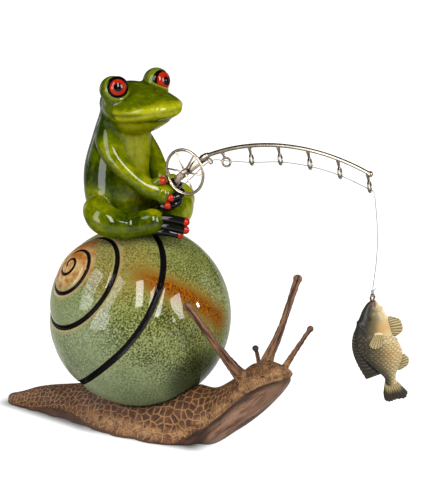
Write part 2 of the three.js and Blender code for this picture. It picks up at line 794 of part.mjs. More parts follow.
function fishSolid() {
  const trunk = limb(fishStations.map(([across, down, deep, share]) => [
    fishPoint(across, 0, down), fishThickness * share, deep,
  ]), {
    sides: 14,
    steps: 11,
    up: axisX.clone().applyAxisAngle(axisZ, fishTurn),
    blunt: 0.5,
  });
  const dorsal = finSolid([
    [-4.6, -12], [-8.6, -17.6], [-9.4, -23.5], [-8.4, -28.7], [-6, -34.5], [-2.5, -40.4], [1.5, -38.6], [0, -28],
  ], 1.6);
  const tail = finSolid([
    [7, -40.5], [5.8, -47], [6.6, -50.9], [8.9, -51.6], [12, -50.5], [15.8, -49.8], [16.8, -46.9], [11.2, -41],
  ], 1.4);
  const anal = finSolid([[11, -27.5], [15, -27.8], [17, -30.2], [16.6, -33.4], [13.4, -35.8], [9, -35]], 1.4);
  const pelvic = finSolid([[5, -11], [8.4, -9.9], [12.7, -11.6], [13.8, -15.7], [11, -18.6], [6, -18.5]], 1.6);
  const pectoral = limb([
    [fishPoint(2.6, -4.6, 15.6), 1.8, 0.9],
    [fishPoint(1.8, -5.4, 19), 2.8, 0.8],
    [fishPoint(1.4, -5.8, 21.6), 2.6, 0.6],
  ], { sides: 8, steps: 3, up: axisY });
  return cut(join([trunk, dorsal, tail, anal, pelvic, pectoral]), [shankHole()]);
}

// Finishes

function finish(color, roughness, metalness = 0) {
  return new THREE.MeshStandardMaterial({ color, roughness, metalness });
}

const finishes = {
  skin: () => finish('#7a5540', 0.75),
  glaze: () => finish('#8fa27c', 0.2),
  frogGreen: () => finish('#6f8f1a', 0.12),
  eye: () => finish('#d8361c', 0.12),
  nickel: () => finish('#c9c2b4', 0.22, 1),
  steel: () => finish('#a9abad', 0.4, 1),
  nylon: () => finish('#d9dcda', 0.35),
  brass: () => finish('#b89a5a', 0.35, 1),
  fish: () => finish('#8b8460', 0.45),
};

const figurine = new THREE.Group();

function place(name, solid, material) {
  const mesh = new THREE.Mesh(toGeometry(solid), material);
  mesh.name = name;
  figurine.add(mesh);
}

const shellHollow = shellSolid(seamGap);
const shellPin = pinSolid(shellPinFrom, shellPinTo, shellPinRadius);
const shellPinHole = pinSolid(shellPinFrom, shellPinTo, shellPinRadius, seamGap);
const frogPin = pinSolid(frogPinFrom, frogPinTo, frogPinRadius);
const frogPinHole = pinSolid(frogPinFrom, frogPinTo, frogPinRadius, seamGap);
const stalkHoles = stalks.map((stalk) => stalkSolid(stalk, seamGap));
const eyeHoles = [-1, 1].map((side) => eyeSolid(side, seamGap));
const bodyHollow = frogBodySolid(seamGap);
const handleHole = handleSolid(seamGap);

place('snail_foot', cut(footSolid(), [shellHollow, shellPinHole, ...stalkHoles]), finishes.skin());
stalks.forEach((stalk) => place(stalk.name, stalkSolid(stalk), finishes.skin()));
place('shell', cut(shellSolid(), [shellPinHole, frogPinHole]), finishes.glaze());
place('shell_dowel', shellPin, finishes.steel());
place('frog_body', cut(frogBodySolid(), [shellHollow, frogPinHole, ...eyeHoles]), finishes.frogGreen());
place('frog_dowel', frogPin, finishes.steel());
place('eye_right', eyeSolid(-1), finishes.eye());
place('eye_left', eyeSolid(1), finishes.eye());

const lineHole = lineSolid(runPoints, runSteps, seamGap).add(ball(lineTie, lineRadius + seamGap, 8));
const rightArmHollow = armSolid(arms.right, seamGap);
const claspRoom = ball(fistCentre(arms.right), fistRadius + fingerRadius + seamGap, 18);
const rightArm = cut(armSolid(arms.right), [bodyHollow, handleHole, lineHole]);
place('frog_arm_right', rightArm, finishes.frogGreen());
const leftArm = cut(armSolid(arms.left), [bodyHollow, handleHole, lineHole, rightArmHollow, claspRoom]);
place('frog_arm_left', leftArm, finishes.frogGreen());

place('rod_handle', handleSolid().subtract(axleHole()), finishes.nickel());
place('rod_ferrule', ferruleSolid(), finishes.nickel());
place('rod_blank', blankSolid(), finishes.nickel());
place('rod_tip_cap', tipCapSolid(), finishes.nickel());
for (let number = 0; number < guideCount; number += 1) {
  place(`line_guide_${number + 1}`, guideSolid(number), finishes.nickel());
}
place('reel_wheel', wheelSolid(), finishes.nickel());
place('reel_axle', axleSolid(), finishes.nickel());

place('line_run', lineSolid(runPoints, runSteps), finishes.nylon());
place('line_bend', lineBendSolid(), finishes.nylon());
place('line_drop', lineDropSolid(), finishes.nylon());
place('line_knot', knotSolid(), finishes.nylon());
place('fish_eyelet', eyeletSolid(), finishes.brass());
place('fish_body', fishSolid(), finishes.fish());

export default figurine;
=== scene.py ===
import math
import bmesh
import bpy
from mathutils import Matrix, Quaternion, Vector, noise


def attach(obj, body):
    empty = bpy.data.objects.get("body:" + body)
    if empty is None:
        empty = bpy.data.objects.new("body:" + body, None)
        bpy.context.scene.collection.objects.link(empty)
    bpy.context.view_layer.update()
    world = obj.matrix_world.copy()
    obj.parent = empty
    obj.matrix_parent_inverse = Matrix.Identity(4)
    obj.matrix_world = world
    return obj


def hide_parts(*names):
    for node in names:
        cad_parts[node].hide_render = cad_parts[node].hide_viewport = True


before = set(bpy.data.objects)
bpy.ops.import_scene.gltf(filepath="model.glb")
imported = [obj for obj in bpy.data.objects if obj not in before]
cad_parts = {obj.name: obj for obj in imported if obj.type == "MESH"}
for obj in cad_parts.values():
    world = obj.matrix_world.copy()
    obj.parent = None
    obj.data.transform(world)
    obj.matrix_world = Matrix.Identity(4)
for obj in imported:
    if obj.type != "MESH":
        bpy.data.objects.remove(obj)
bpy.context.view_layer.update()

mm = 0.001  # pieces are drawn in millimetres and stored in metres
xWay = Vector((1, 0, 0))
yWay = Vector((0, 1, 0))
zWay = Vector((0, 0, 1))
scene = bpy.context.scene
print("frame loaded:", len(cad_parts), "nodes")


# shader sockets that can be added, multiplied and divided in plain expressions
class Wire:
    def __init__(self, paint, socket):
        self.paint = paint
        self.socket = socket

    def __add__(self, other):
        return self.paint.math("ADD", self, other)

    def __radd__(self, other):
        return self.paint.math("ADD", other, self)

    def __sub__(self, other):
        return self.paint.math("SUBTRACT", self, other)

    def __rsub__(self, other):
        return self.paint.math("SUBTRACT", other, self)

    def __mul__(self, other):
        return self.paint.math("MULTIPLY", self, other)

    def __rmul__(self, other):
        return self.paint.math("MULTIPLY", other, self)

    def __truediv__(self, other):
        return self.paint.math("DIVIDE", self, other)

    def __rtruediv__(self, other):
        return self.paint.math("DIVIDE", other, self)

    def __abs__(self):
        return self.paint.math("ABSOLUTE", self)


# a material and the nodes that feed it
class Paint:
    def __init__(self, name):
        self.material = bpy.data.materials.new(name)
        self.material.use_nodes = True
        self.tree = self.material.node_tree
        self.shader = self.tree.nodes["Principled BSDF"]

    # every node of a finish comes from here: its kind, its settings, then what feeds it
    def add(self, kind, settings, sockets, output=0):
        node = self.tree.nodes.new(kind)
        for key, value in settings.items():
            setattr(node, key, value)
        for key, value in sockets.items():
            self.feed(node.inputs[key], value)
        return Wire(self, node.outputs[output])

    def feed(self, socket, value):
        if isinstance(value, Wire):
            self.tree.links.new(value.socket, socket)
        else:
            socket.default_value = value

    def set(self, sockets):
        for key, value in sockets.items():
            self.feed(self.shader.inputs[key], value)
        return self.material

    def math(self, operation, first, second=0):
        return self.add("ShaderNodeMath", {"operation": operation}, {0: first, 1: second})

    def vector(self, operation, first, second=(0, 0, 0), output=0):
        return self.add("ShaderNodeVectorMath", {"operation": operation}, {0: first, 1: second}, output)

    def dot(self, first, second):
        return self.vector("DOT_PRODUCT", first, second, "Value")

    def spot(self):
        return self.add("ShaderNodeTexCoord", {}, {}, "Object")

    # which way the painted spot lies from a centre
    def wayFrom(self, centre):
        return self.vector("NORMALIZE", self.vector("SUBTRACT", self.spot(), centre * mm))

    def mark(self, name):
        return self.add("ShaderNodeAttribute", {"attribute_name": name}, {}, "Fac")

    # a tone is a wire, or screen values that may end with a depth of paint
    def mix(self, share, *tones):
        first, second = [tone if isinstance(tone, Wire) else colour(*tone) for tone in tones]
        return self.add("ShaderNodeMix", {"data_type": "RGBA"}, {0: share, 6: first, 7: second}, 2)

    # tones laid one over another, each as far as its share goes
    def layers(self, tone, *layers):
        for share, over in layers:
            tone = self.mix(share, tone, over)
        return tone

    def step(self, value, low, high):
        return self.add("ShaderNodeMapRange", {"interpolation_type": "SMOOTHSTEP"},
                        {"Value": value, "From Min": low, "From Max": high})

    def noise(self, scale, detail=2, rough=0.5, spot=None, output=0):
        return self.add("ShaderNodeTexNoise", {}, {"Vector": spot or self.spot(), "Scale": scale,
                                                   "Detail": detail, "Roughness": rough}, output)

    def cells(self, feature, spot, random, dimensions, output=0):
        return self.add("ShaderNodeTexVoronoi", {"feature": feature, "voronoi_dimensions": dimensions},
                        {"Vector": spot, "Scale": 1, "Randomness": random}, output)

    def bump(self, height, distance, strength):
        return self.add("ShaderNodeBump", {}, {"Height": height, "Distance": distance, "Strength": strength})

    # a clear glaze over the paint, held back where a surface turns away and full again at its rim
    def glaze(self, weight=0.29, edge=0.02, rim=0.33):
        facing = self.add("ShaderNodeLayerWeight", {}, {"Blend": 0.5}, "Facing")
        coat = weight - self.step(facing, 0.1, 0.5) * (weight - edge) + self.step(facing, 0.52, 0.82) * rim
        return {"Specular IOR Level": 0, "Coat Weight": coat, "Coat Roughness": 0.04, "Coat IOR": 1.5}


# screen values of a tone, as a paint of the given depth
def colour(red, green, blue, depth=0.28):
    def linear(part):
        part /= 255
        return depth * (part / 12.92 if part <= 0.04045 else ((part + 0.055) / 1.055) ** 2.4)
    return (linear(red), linear(green), linear(blue), 1)


def easy(value, low, high):
    t = min(max((value - low) / (high - low), 0), 1)
    return t * t * (3 - 2 * t)


def bell(value, width):
    return math.exp(-(value / width) ** 2)


def table(value, pairs):
    if value <= pairs[0][0]:
        return pairs[0][1]
    for (x0, y0), (x1, y1) in zip(pairs, pairs[1:]):
        if value <= x1:
            return y0 + (y1 - y0) * (value - x0) / (x1 - x0)
    return pairs[-1][1]


# rows of numbers eased from one to the next
def eased(rows, steps):
    last = len(rows) - 1
    out = []
    for count in range(last * steps + 1):
        k = min(count // steps, last - 1)
        t = count / steps - k
        four = [rows[max(k - 1, 0)], rows[k], rows[k + 1], rows[min(k + 2, last)]]
        out.append([0.5 * (2 * b + (c - a) * t + (2 * a - 5 * b + 4 * c - d) * t * t
                           + (3 * b - a - 3 * c + d) * t ** 3) for a, b, c, d in zip(*four)])
    return out


# one circle is extruded through all the rings, then both ends are closed
def stack(bm, rings):
    def edgesOf(loop):
        return [bm.edges.get((loop[k - 1], loop[k])) for k in range(len(loop))]

    ring = bmesh.ops.create_circle(bm, segments=len(rings[0]), radius=1)["verts"]
    made = [ring]
    for k, spots in enumerate(rings):
        if k > 0:
            geom = bmesh.ops.extrude_edge_only(bm, edges=edgesOf(ring))["geom"]
            fresh = {part for part in geom if isinstance(part, bmesh.types.BMVert)}
            ring = [next(e.other_vert(v) for e in v.link_edges if e.other_vert(v) in fresh) for v in ring]
            made.append(ring)
        for corner, spot in zip(ring, spots):
            corner.co = spot * mm
    for loop in (made[0], ring):
        bmesh.ops.contextual_create(bm, geom=edgesOf(loop))
    return [corner for ring in made for corner in ring]


# a round-ended limb through rows of [x, y, z, half width, half height]
def limb(bm, rows, sides, steps, up=zWay, blunt=1.0):
    rows = eased(rows, steps)
    spots = [Vector(row[:3]) for row in rows]
    last = len(spots) - 1

    def ring(k, tilt=0):
        way = (spots[min(k + 1, last)] - spots[max(k - 1, 0)]).normalized()
        side = up.cross(way).normalized()
        rise = way.cross(side)
        wide, tall = rows[k][3], rows[k][-1]
        middle = spots[k] + way * (min(wide, tall) * blunt * math.sin(tilt))
        wide *= math.cos(tilt)
        tall *= math.cos(tilt)
        turns = [2 * math.pi * n / sides for n in range(sides)]
        return [middle + side * wide * math.cos(a) + rise * tall * math.sin(a) for a in turns]

    tilts = [math.radians(a) for a in (10, 26, 44, 62, 80)]
    rings = [ring(0, -a) for a in reversed(tilts)]
    rings += [ring(k) for k in range(last + 1)]
    rings += [ring(last, a) for a in tilts]
    return stack(bm, rings)


def blob(bm, centre, sizes):
    place = Matrix.Translation(Vector(centre) * mm) @ Matrix.Diagonal(Vector((*sizes, 1 / mm)) * mm)
    bmesh.ops.create_uvsphere(bm, u_segments=32, v_segments=20, radius=1, matrix=place)


def linked(name, data):
    thing = bpy.data.objects.new(name, data)
    scene.collection.objects.link(thing)
    return thing


# a finished shape becomes an object
def poured(bm, name):
    mesh = bpy.data.meshes.new(name)
    bm.to_mesh(mesh)
    bm.free()
    return linked(name, mesh)


# overlapping lumps become one skin
def fuse(bm, grain, passes):
    bmesh.ops.recalc_face_normals(bm, faces=bm.faces)
    lump = poured(bm, "clay")
    mesh = lump.data
    remesh = lump.modifiers.new("fuse", "REMESH")
    remesh.mode = "VOXEL"
    remesh.voxel_size = grain * mm
    bpy.context.view_layer.update()
    skin = bpy.data.meshes.new_from_object(lump.evaluated_get(bpy.context.evaluated_depsgraph_get()))
    bpy.data.objects.remove(lump)
    bpy.data.meshes.remove(mesh)
    bm = bmesh.new()
    bm.from_mesh(skin)
    bpy.data.meshes.remove(skin)
    axes = {"use_axis_x": True, "use_axis_y": True, "use_axis_z": True}
    for count in range(passes):
        bmesh.ops.smooth_vert(bm, verts=bm.verts, factor=0.5, **axes)
    bm.normal_update()
    return bm


# each corner gets what the rule gives for its spot; names past the last value stay at nought
def mark(bm, names, rule):
    layers = [bm.verts.layers.float.new(name) for name in names]
    for vert in bm.verts:
        for layer, value in zip(layers, rule(vert.co / mm)):
            vert[layer] = value


def lay(bm, name, rule):
    layer = bm.loops.layers.uv.new(name)
    for face in bm.faces:
        for loop in face.loops:
            loop[layer].uv = rule(loop.vert.co / mm)


def dent(bm, rule):
    bm.normal_update()
    moves = [(vert, vert.normal * rule(vert.co / mm) * mm) for vert in bm.verts]
    for vert, move in moves:
        vert.co += move


# what the frame has to know about a piece
def signed(piece, material, body, nodes):
    piece.data.materials.append(material)
    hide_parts(*nodes)
    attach(piece, body)
    return piece


def finished(bm, name, material, body, nodes, subdivide=0):
    bmesh.ops.remove_doubles(bm, verts=bm.verts, dist=1e-7)
    bmesh.ops.recalc_face_normals(bm, faces=bm.faces)
    for face in bm.faces:
        face.smooth = True
    piece = poured(bm, name)
    if subdivide:
        sub = piece.modifiers.new("smooth", "SUBSURF")
        sub.levels = subdivide
        sub.render_levels = subdivide
    return signed(piece, material, body, nodes)


# camera where the photograph was taken
shot = {
    "place": (0.6938, -0.8942, 0.4592),
    "back": (0.5590, -0.7694, 0.3090),
    "lens": 172.8,
    "sensor": 36,
    "look": (0.03, 0, 0.1),
}


def makeCamera():
    back = Vector(shot["back"]).normalized()
    right = zWay.cross(back).normalized()
    up = back.cross(right)
    data = bpy.data.cameras.new("photoCamera")
    data.sensor_fit = "VERTICAL"
    data.sensor_height = shot["sensor"]
    data.lens = shot["lens"]
    camera = linked("photoCamera", data)
    turn = Matrix((right, up, back)).transposed().to_4x4()
    camera.matrix_world = Matrix.Translation(shot["place"]) @ turn
    scene.camera = camera
    return right, up, back


viewRight, viewUp, viewBack = makeCamera()

# soft boxes as [right, up, towards the camera, width, height, power]
studio = {
    "boxes": [
        [-0.67, 0.42, 0.60, 0.50, 1.0, 22.0],
        [0.13, 0.40, 0.90, 0.30, 0.86, 30.0],
        [0.70, 0.17, 0.69, 0.42, 0.74, 28.0],
        [0.97, 0.15, 0.16, 0.07, 0.10, 5.0],
        [-0.80, -0.10, 0.58, 0.62, 0.46, 15.0],
        [0.84, 0.28, -0.46, 0.50, 0.70, 14.0],
        [-0.80, 0.30, -0.52, 0.50, 0.70, 14.0],
    ],
    "distance": 1.25,
    "sky": 0.03,
    "floorSize": 6,
    "paper": (0.16, 0.19),
    "glow": 0.9,
    "glowTones": (0.95, 1),
    "glowReach": (0.05, 0.6),
    # a painted contact shadow lies on the floor along these points
    "contact": [(-74, -17), (-17, -20), (44, -9)],  # where the near edge of the foot meets the floor
    "shade": 0.02,
    "shadeAcross": (12, 1),
    "shadeAlong": (9, -6),
    "shadeShares": (0.8, 0.95),  # on the paper and on its glow
}


def makeLights():
    for k, (right, up, back, width, height, power) in enumerate(studio["boxes"]):
        way = (viewRight * right + viewUp * up + viewBack * back).normalized()
        data = bpy.data.lights.new(f"softBox{k}", "AREA")
        data.shape = "RECTANGLE"
        data.size = width
        data.size_y = height
        data.energy = power
        light = linked(f"softBox{k}", data)
        light.location = Vector(shot["look"]) + way * studio["distance"]
        light.rotation_euler = way.to_track_quat("Z", "Y").to_euler()
    world = bpy.data.worlds.new("studio")
    world.use_nodes = True
    sky = world.node_tree.nodes["Background"].inputs
    sky["Color"].default_value = (1, 1, 1, 1)
    sky["Strength"].default_value = studio["sky"]
    scene.world = world
    scene.view_settings.view_transform = "Standard"


def makeFloor():
    bm = bmesh.new()
    bmesh.ops.create_grid(bm, x_segments=1, y_segments=1, size=studio["floorSize"])
    floor = poured(bm, "floor")
    paint = Paint("floorPaper")

    def grey(tone):
        return (255, 255, 255, tone)

    paper = paint.mix(paint.noise(40, 3), *map(grey, studio["paper"]))
    away = paint.vector("LENGTH", paint.spot(), output="Value")
    glow = paint.mix(paint.step(away, *studio["glowReach"]), *map(grey, studio["glowTones"]))
    spotX, spotY = [paint.add("ShaderNodeSeparateXYZ", {}, {0: paint.spot()}, axis) / mm for axis in "XY"]
    # painted contact shadow: the paper and its glow darken along the near edge of the foot
    for (x0, y0), (x1, y1) in zip(studio["contact"], studio["contact"][1:]):
        long = math.hypot(x1 - x0, y1 - y0)
        dx, dy = (x1 - x0) / long, (y1 - y0) / long
        along = (spotX - x0) * dx + (spotY - y0) * dy
        beside = abs((spotX - x0) * dy - (spotY - y0) * dx)
        beyond = abs(along - long / 2) - long / 2
        shade = paint.step(beside, *studio["shadeAcross"]) * paint.step(beyond, *studio["shadeAlong"])
        onPaper, onGlow = studio["shadeShares"]
        paper = paint.mix(shade * onPaper, paper, grey(studio["shade"]))
        glow = paint.mix(shade * onGlow, glow, grey(studio["shade"]))
    white = paint.set({"Base Color": paper, "Roughness": 0.9, "Specular IOR Level": 0.1,
                       "Emission Color": glow, "Emission Strength": studio["glow"]})
    floor.data.materials.append(white)


makeLights()
makeFloor()
print("camera and lights set")

# fishing line: the route of the solids, repeated in millimetres
line = {
    "radius": 0.23,
    "run": [(19.70, 0, 122.94), (31.51, 0, 133.79), (43.32, 0, 144.64), (53.96, 0, 146.49),
            (67.80, 0, 148.16), (84.24, 0, 151.04), (100.91, 0, 151.69), (117.53, 0, 150.10),
            (133.47, 0, 146.28)],
    "bend": [(133.77, 0, 146.28), (135.46, 0, 145.68), (136.37, 0, 144.18)],
    "hang": (136.37, 0, 143.88),
    "drop": 45.0,
    "bow": 2.0,
    "stations": (0, 0.15, 0.3, 0.5, 0.7, 0.85, 1),
    "knotDown": 1.2,
    "knotTurns": [(0.42, 0.62), (0, 0.85), (-0.42, 0.66)],  # height and half width of each turn
    "knotRise": 0.42,
    "loopDown": 1.65,
    "loop": 0.93,
    "loopWire": 0.24,
    "loopSteps": 19,
    "fishTurn": math.radians(36),
    "loopTurn": math.radians(50),
    "tail": [[0.3, 0.2, 0.3, 0.2], [1.0, 0.5, 0.9, 0.2], [1.5, 0.6, 1.9, 0.18]],  # the cut end, from the knot
}


def linePiece(name, points, body, nodes, material):
    rows = eased(points, 8)
    data = bpy.data.curves.new(name, "CURVE")
    data.dimensions = "3D"
    data.bevel_depth = line["radius"] * mm
    data.bevel_resolution = 3
    data.use_fill_caps = True
    spline = data.splines.new("POLY")
    spline.points.add(len(rows) - 1)
    for point, row in zip(spline.points, rows):
        point.co = (*(Vector(row) * mm), 1)
    piece = signed(linked(name, data), material, body, nodes)
    length = sum((Vector(a) - Vector(b)).length for a, b in zip(rows, rows[1:]))
    return piece, length * mm


def nylonFinish():
    paint = Paint("nylonLine")
    cloud = paint.noise(900, 2)
    tone = paint.mix(cloud, (132, 135, 133), (172, 175, 172))
    return paint.set({"Base Color": tone, "Roughness": 0.35 + cloud * 0.1, "IOR": 1.53,
                      "Specular IOR Level": 0.2})


def makeLine():
    nylon = nylonFinish()
    run, runLength = linePiece("fishingLineRun", line["run"], "figure", ["line_run"], nylon)
    bend, bendLength = linePiece("fishingLineBend", line["bend"], "line_top", ["line_bend"], nylon)
    hang = Vector(line["hang"])
    points = [hang + Vector((line["bow"] * math.sin(math.pi * t), 0, -line["drop"] * t))
              for t in line["stations"]]
    drop, dropLength = linePiece("fishingLineDrop", points, "line", ["line_drop"], nylon)
    bm = bmesh.new()
    knot = points[-1] - zWay * line["knotDown"]
    for height, size in line["knotTurns"]:
        blob(bm, knot + zWay * height, (size, size, line["knotRise"]))
    eyelet = knot - zWay * line["loopDown"]
    turn = Matrix.Rotation(line["fishTurn"] + line["loopTurn"], 4, "Z")
    loop = []
    for k in range(line["loopSteps"] + 1):
        a = 2 * math.pi * k / line["loopSteps"]
        spot = eyelet + turn @ Vector((0, line["loop"] * math.sin(a), line["loop"] * math.cos(a)))
        loop.append([*spot, line["loopWire"]])
    limb(bm, loop, 10, 1, turn @ xWay)
    limb(bm, [[*(knot + Vector(spot)), wire] for *spot, wire in line["tail"]], 8, 3, yWay)
    knotPiece = finished(bm, "fishingLineKnot", nylon, "knot", ["line_knot"])
    print("line made: run", round(runLength, 4), "drop", round(dropLength + bendLength, 4))


makeLine()

# shell
shell = {
    "centre": Vector((0, 0, 57.5)),
    "radius": 45.5,
    "axis": Vector((-0.345, -0.674, 0.653)).normalized(),
    "winding": (4.979, 1.564, 0.120),  # at the equator, per log tangent of the half angle, per its square
    "firstSeam": 0.55,
    "lastSeam": 4.6,
    "spire": 4.5,
    "spireWidth": math.radians(22),
    "bulge": 1.8,
    "arch": 0.55,
    "groove": 1.0,
    "grooveWidth": 0.95,
    "seamFade": 0.03,
    "flare": (4.345, 12.0),  # where the last seam starts to run outwards, and how fast
    "seat": 102.2,
    # the pale patch is a painted sheen on the lower near side, under is lighter underneath and shade is
    # painted shade low on the right
    "pale": (-0.3, -0.92, -0.24),  # which way each painted patch faces
    "under": (0.25, -0.5, -0.83),
    "shade": (0.87, -0.165, -0.464),
    "ochre": (0.2, -0.6, 0.775),
    "warm": (0.75, -0.25, 0.6),
    "shoulder": (-0.33, -0.47, 0.82),
    "band": (0.061, -0.668, -0.742),  # the pole of the rust band, then where it runs and ends
    "bandRun": (0.549, 0.643, -0.534),
    "bandEnd": (0.834, -0.375, 0.406),
}
shell["start"] = shell["axis"].cross(zWay).cross(shell["axis"]).normalized()
shell["right"] = shell["start"].cross(shell["axis"])


# a direction's angle from the axis, place between seams, distance to the nearest one and that one's turn
def spiral(way):
    polar = math.acos(min(max(way.dot(shell["axis"]), -0.999999), 0.999999))
    turn = math.atan2(way.dot(shell["right"]), way.dot(shell["start"])) / (2 * math.pi) % 1
    first, slope, curve = shell["winding"]
    opened = math.log(math.tan(polar / 2))
    place = first + slope * opened + curve * opened * opened - turn
    whole = round(place)
    start, speed = shell["flare"]
    place -= speed * max(0, whole + turn - start) ** 2
    off = (place - whole) * math.sin(polar) * shell["radius"] / (slope + 2 * curve * opened)
    return polar, place % 1, off, whole + turn


def shellFinish():
    paint = Paint("shellGlaze")
    way = paint.wayFrom(shell["centre"])

    def facing(name):
        return paint.dot(way, Vector(shell[name]).normalized())

    polar = paint.math("ARCCOSINE", paint.dot(way, shell["axis"]))
    girth = paint.math("SINE", polar)
    turn = paint.math("ARCTAN2", facing("right"), facing("start")) / (2 * math.pi)
    first, slope, curve = shell["winding"]
    opened = paint.math("LOGARITHM", paint.math("TANGENT", polar * 0.5), math.e)
    place = first + opened * slope + opened * opened * curve - turn
    whole = paint.math("ROUND", place)
    seam = whole + turn
    start, speed = shell["flare"]
    beyond = paint.math("MAXIMUM", seam - start)
    off = (place - whole - beyond * beyond * speed) * girth * shell["radius"] / (slope + opened * (2 * curve))
    wobble = (paint.noise(160, 2) - 0.5) * 0.5
    fade = shell["seamFade"]
    live = paint.step(seam, shell["lastSeam"] + fade, shell["lastSeam"] - fade) \
        * paint.step(seam, shell["firstSeam"] - fade, shell["firstSeam"] + fade)
    width = girth * 1.25 + 0.58
    stripe = live * paint.step(abs(off) + wobble * 0.35, width + 0.16, width - 0.16)

    fine = paint.noise(1300, 2, 0.7)
    cloud = paint.noise(55, 4, 0.6)
    coarse = paint.noise(1200, 3, 0.65)
    dots = paint.step(coarse + (cloud - 0.5) * 0.25 + (fine - 0.5) * 0.3, 0.4, 0.6)
    ringed = live * paint.step(girth, 0.95, 0.55)
    outside = paint.step(off + wobble, 0.5, 1.0) * paint.step(off + wobble * 3, 4.2, 1.2)
    inside = paint.step(off + wobble, -0.5, -0.9) * paint.step(off + wobble * 3, -2.4, -1.0)
    slant = abs(facing("band") + 0.109 + (cloud - 0.5) * 0.12)
    ends = paint.step(facing("bandRun"), -0.72, -0.3) * paint.step(facing("bandRun"), 0.78, 0.5) \
        * paint.step(facing("bandEnd"), 0.0, 0.22)
    rust = paint.mix(paint.step(coarse + (fine - 0.5) * 0.4, 0.36, 0.6), (176, 100, 20), (88, 44, 4))
    apex = paint.step(polar + (cloud - 0.5) * 0.35, 0.38, 0.16)
    apexTone = paint.layers(
        (214, 176, 118),
        (paint.step(paint.noise(210, 3, 0.65), 0.38, 0.62), (182, 96, 22)),
        (paint.step(coarse, 0.55, 0.75) * 0.6, (110, 60, 18)))
    tone = paint.layers(
        (52, 64, 24),
        (dots, (148, 158, 102)),
        (paint.step(coarse, 0.6, 0.74) * 0.8, (200, 206, 166)),
        (paint.step(fine, 0.42, 0.28) * 0.5, (44, 54, 20)),
        (paint.step(paint.noise(28, 3, 0.55), 0.48, 0.7) * 0.35, (92, 108, 36)),
        # painted sheen on the lower near side, lighter underneath, then painted shade low on the right
        (paint.step(facing("pale"), 0.62, 0.98) * (0.1 + fine * 0.5), (172, 182, 150)),
        (paint.step(facing("under"), 0.6, 0.95) * (0.1 + fine * 0.5), (166, 178, 140)),
        (paint.step(facing("shade"), 0.9, 0.985) * (0.35 + coarse * 0.6), (24, 26, 12)),
        (paint.step(facing("ochre"), 0.86, 0.98) * (0.1 + coarse * 0.5), (150, 118, 44)),
        (outside * (ringed * 0.5 + live * 0.12), (190, 160, 112)),
        (inside * (ringed * 0.3 + live * 0.1), (176, 166, 122)),
        (paint.step(facing("warm"), 0.45, 0.95) * (0.05 + dots * 0.32), (150, 138, 48)),
        (paint.step(slant, 0.28, 0.08) * ends * (0.2 + coarse * 0.6), (150, 112, 34)),
        (paint.step(slant, 0.17, 0.02) * ends * paint.step(fine + cloud * 0.5, 0.38, 0.8), rust),
        (apex * (0.45 + fine * 0.5), apexTone),
        (paint.step(facing("shoulder"), 0.975, 0.997) * (0.2 + coarse * 0.8), (150, 88, 36)),
        (stripe, (18, 17, 16)))
    relief = paint.noise(420, 3) * 0.5 + fine * 0.5
    gloss = paint.glaze()
    gloss["Coat Weight"] = gloss["Coat Weight"] * (1 - stripe * 0.8)
    return paint.set({"Base Color": tone, "Roughness": 0.4 + stripe * 0.2 + dots * 0.1,
                      "Normal": paint.bump(relief, 0.00015, 0.4), **gloss})


def makeShell():
    bm = bmesh.new()
    bmesh.ops.create_icosphere(bm, subdivisions=7, radius=1)
    for vert in bm.verts:
        way = vert.co.normalized()
        polar, across, off, seam = spiral(way)
        live = easy(seam, shell["lastSeam"] + 0.1, shell["lastSeam"] - 0.5) * easy(polar, 0.02, 0.25)
        rise = shell["spire"] * bell(polar, shell["spireWidth"])
        arch = math.sin(math.pi * across) ** shell["arch"] - 1
        relief = shell["bulge"] * arch * min(1, math.sin(polar) * 1.2) \
            - shell["groove"] * bell(off, shell["grooveWidth"])
        spot = shell["centre"] + way * (shell["radius"] + rise + live * relief)
        spot.z = min(spot.z, shell["seat"] - 0.05)
        vert.co = spot * mm
    finished(bm, "snailShell", shellFinish(), "figure", ["shell"])
    print("shell made")


makeShell()

# snail: rows of [x, y, half width, bottom, top, narrowing]
snail = {
    "rows": [
        [-72.6, -17, 1.2, 1.6, 3.6, 0.1],
        [-71.2, -17, 2.8, 0.9, 4.8, 0.1],
        [-65, -16.5, 5.5, -1.5, 7, 0.2],
        [-56, -12.5, 9.5, -3, 10.5, 0.3],
        [-42, -8.5, 13.5, -4, 13.5, 0.35],
        [-24, -3.5, 18, -5, 17, 0.35],
        [-5, -0.5, 20.5, -5, 22, 0.35],
        [14, 0, 20, -5, 24, 0.35],
        [32, 0, 17.5, -4, 28, 0.35],
        [46, 0, 15, -0.5, 29, 0.35],
        [57, 0, 13, 7.5, 36, 0.3],
        [67, 0, 11.8, 15.5, 45, 0.2],
        [75.5, 0, 10.8, 23.5, 49.6, 0.1],
        [83.5, 0, 9.2, 32.5, 49.4, 0.1],
        [88.6, 0, 5.6, 39.6, 47.7, 0.1],
        [90.8, 0, 2.2, 42.6, 46.6, 0.1],
    ],
    "skirt": [(-73, 1.4), (-65, 4.4), (-60, 6), (-51, 9), (-43, 11.2), (-36, 12.8), (-27, 16), (-17, 19.4),
              (-8, 22), (0, 23), (6, 22), (12, 20.8), (20, 20.2), (26, 18.8), (31, 15.8), (36, 13.2),
              (42, 10.4), (50, 6)],
    "sides": 96,
    "steps": 9,
    "flat": 0.4,  # how much of the underside lies on the floor
    "edge": [(-80, 0.8), (32, 1.2), (38, 4.5), (44, 9.0), (50, 13.5), (57, 20.0), (62, 25.0), (67, 30.5),
             (72, 35.0), (80, 40.5), (86, 43.6), (92, 45.0)],
    # heights of a painted shadow along the bottom of the foot, where it meets the floor
    "footShadow": [(-74, 0.8), (-58, 1.6), (-48, 3.6), (-38, 5.4), (-29, 4.4), (-20, 2.2), (0, 1.5), (30, 1.6),
            (40, 2.6)],
    "cells": [(-72, 2.1), (-40, 2.8), (-10, 3.7), (20, 4.3), (45, 3.6), (65, 2.6), (90, 2.2)],
    "pit": (84.0, -6.6, 42.6),
    "gap": 0.35,
    "shellLine": 45.8,
}


def skirtAt(spot):
    return table(spot.x, snail["edge"])


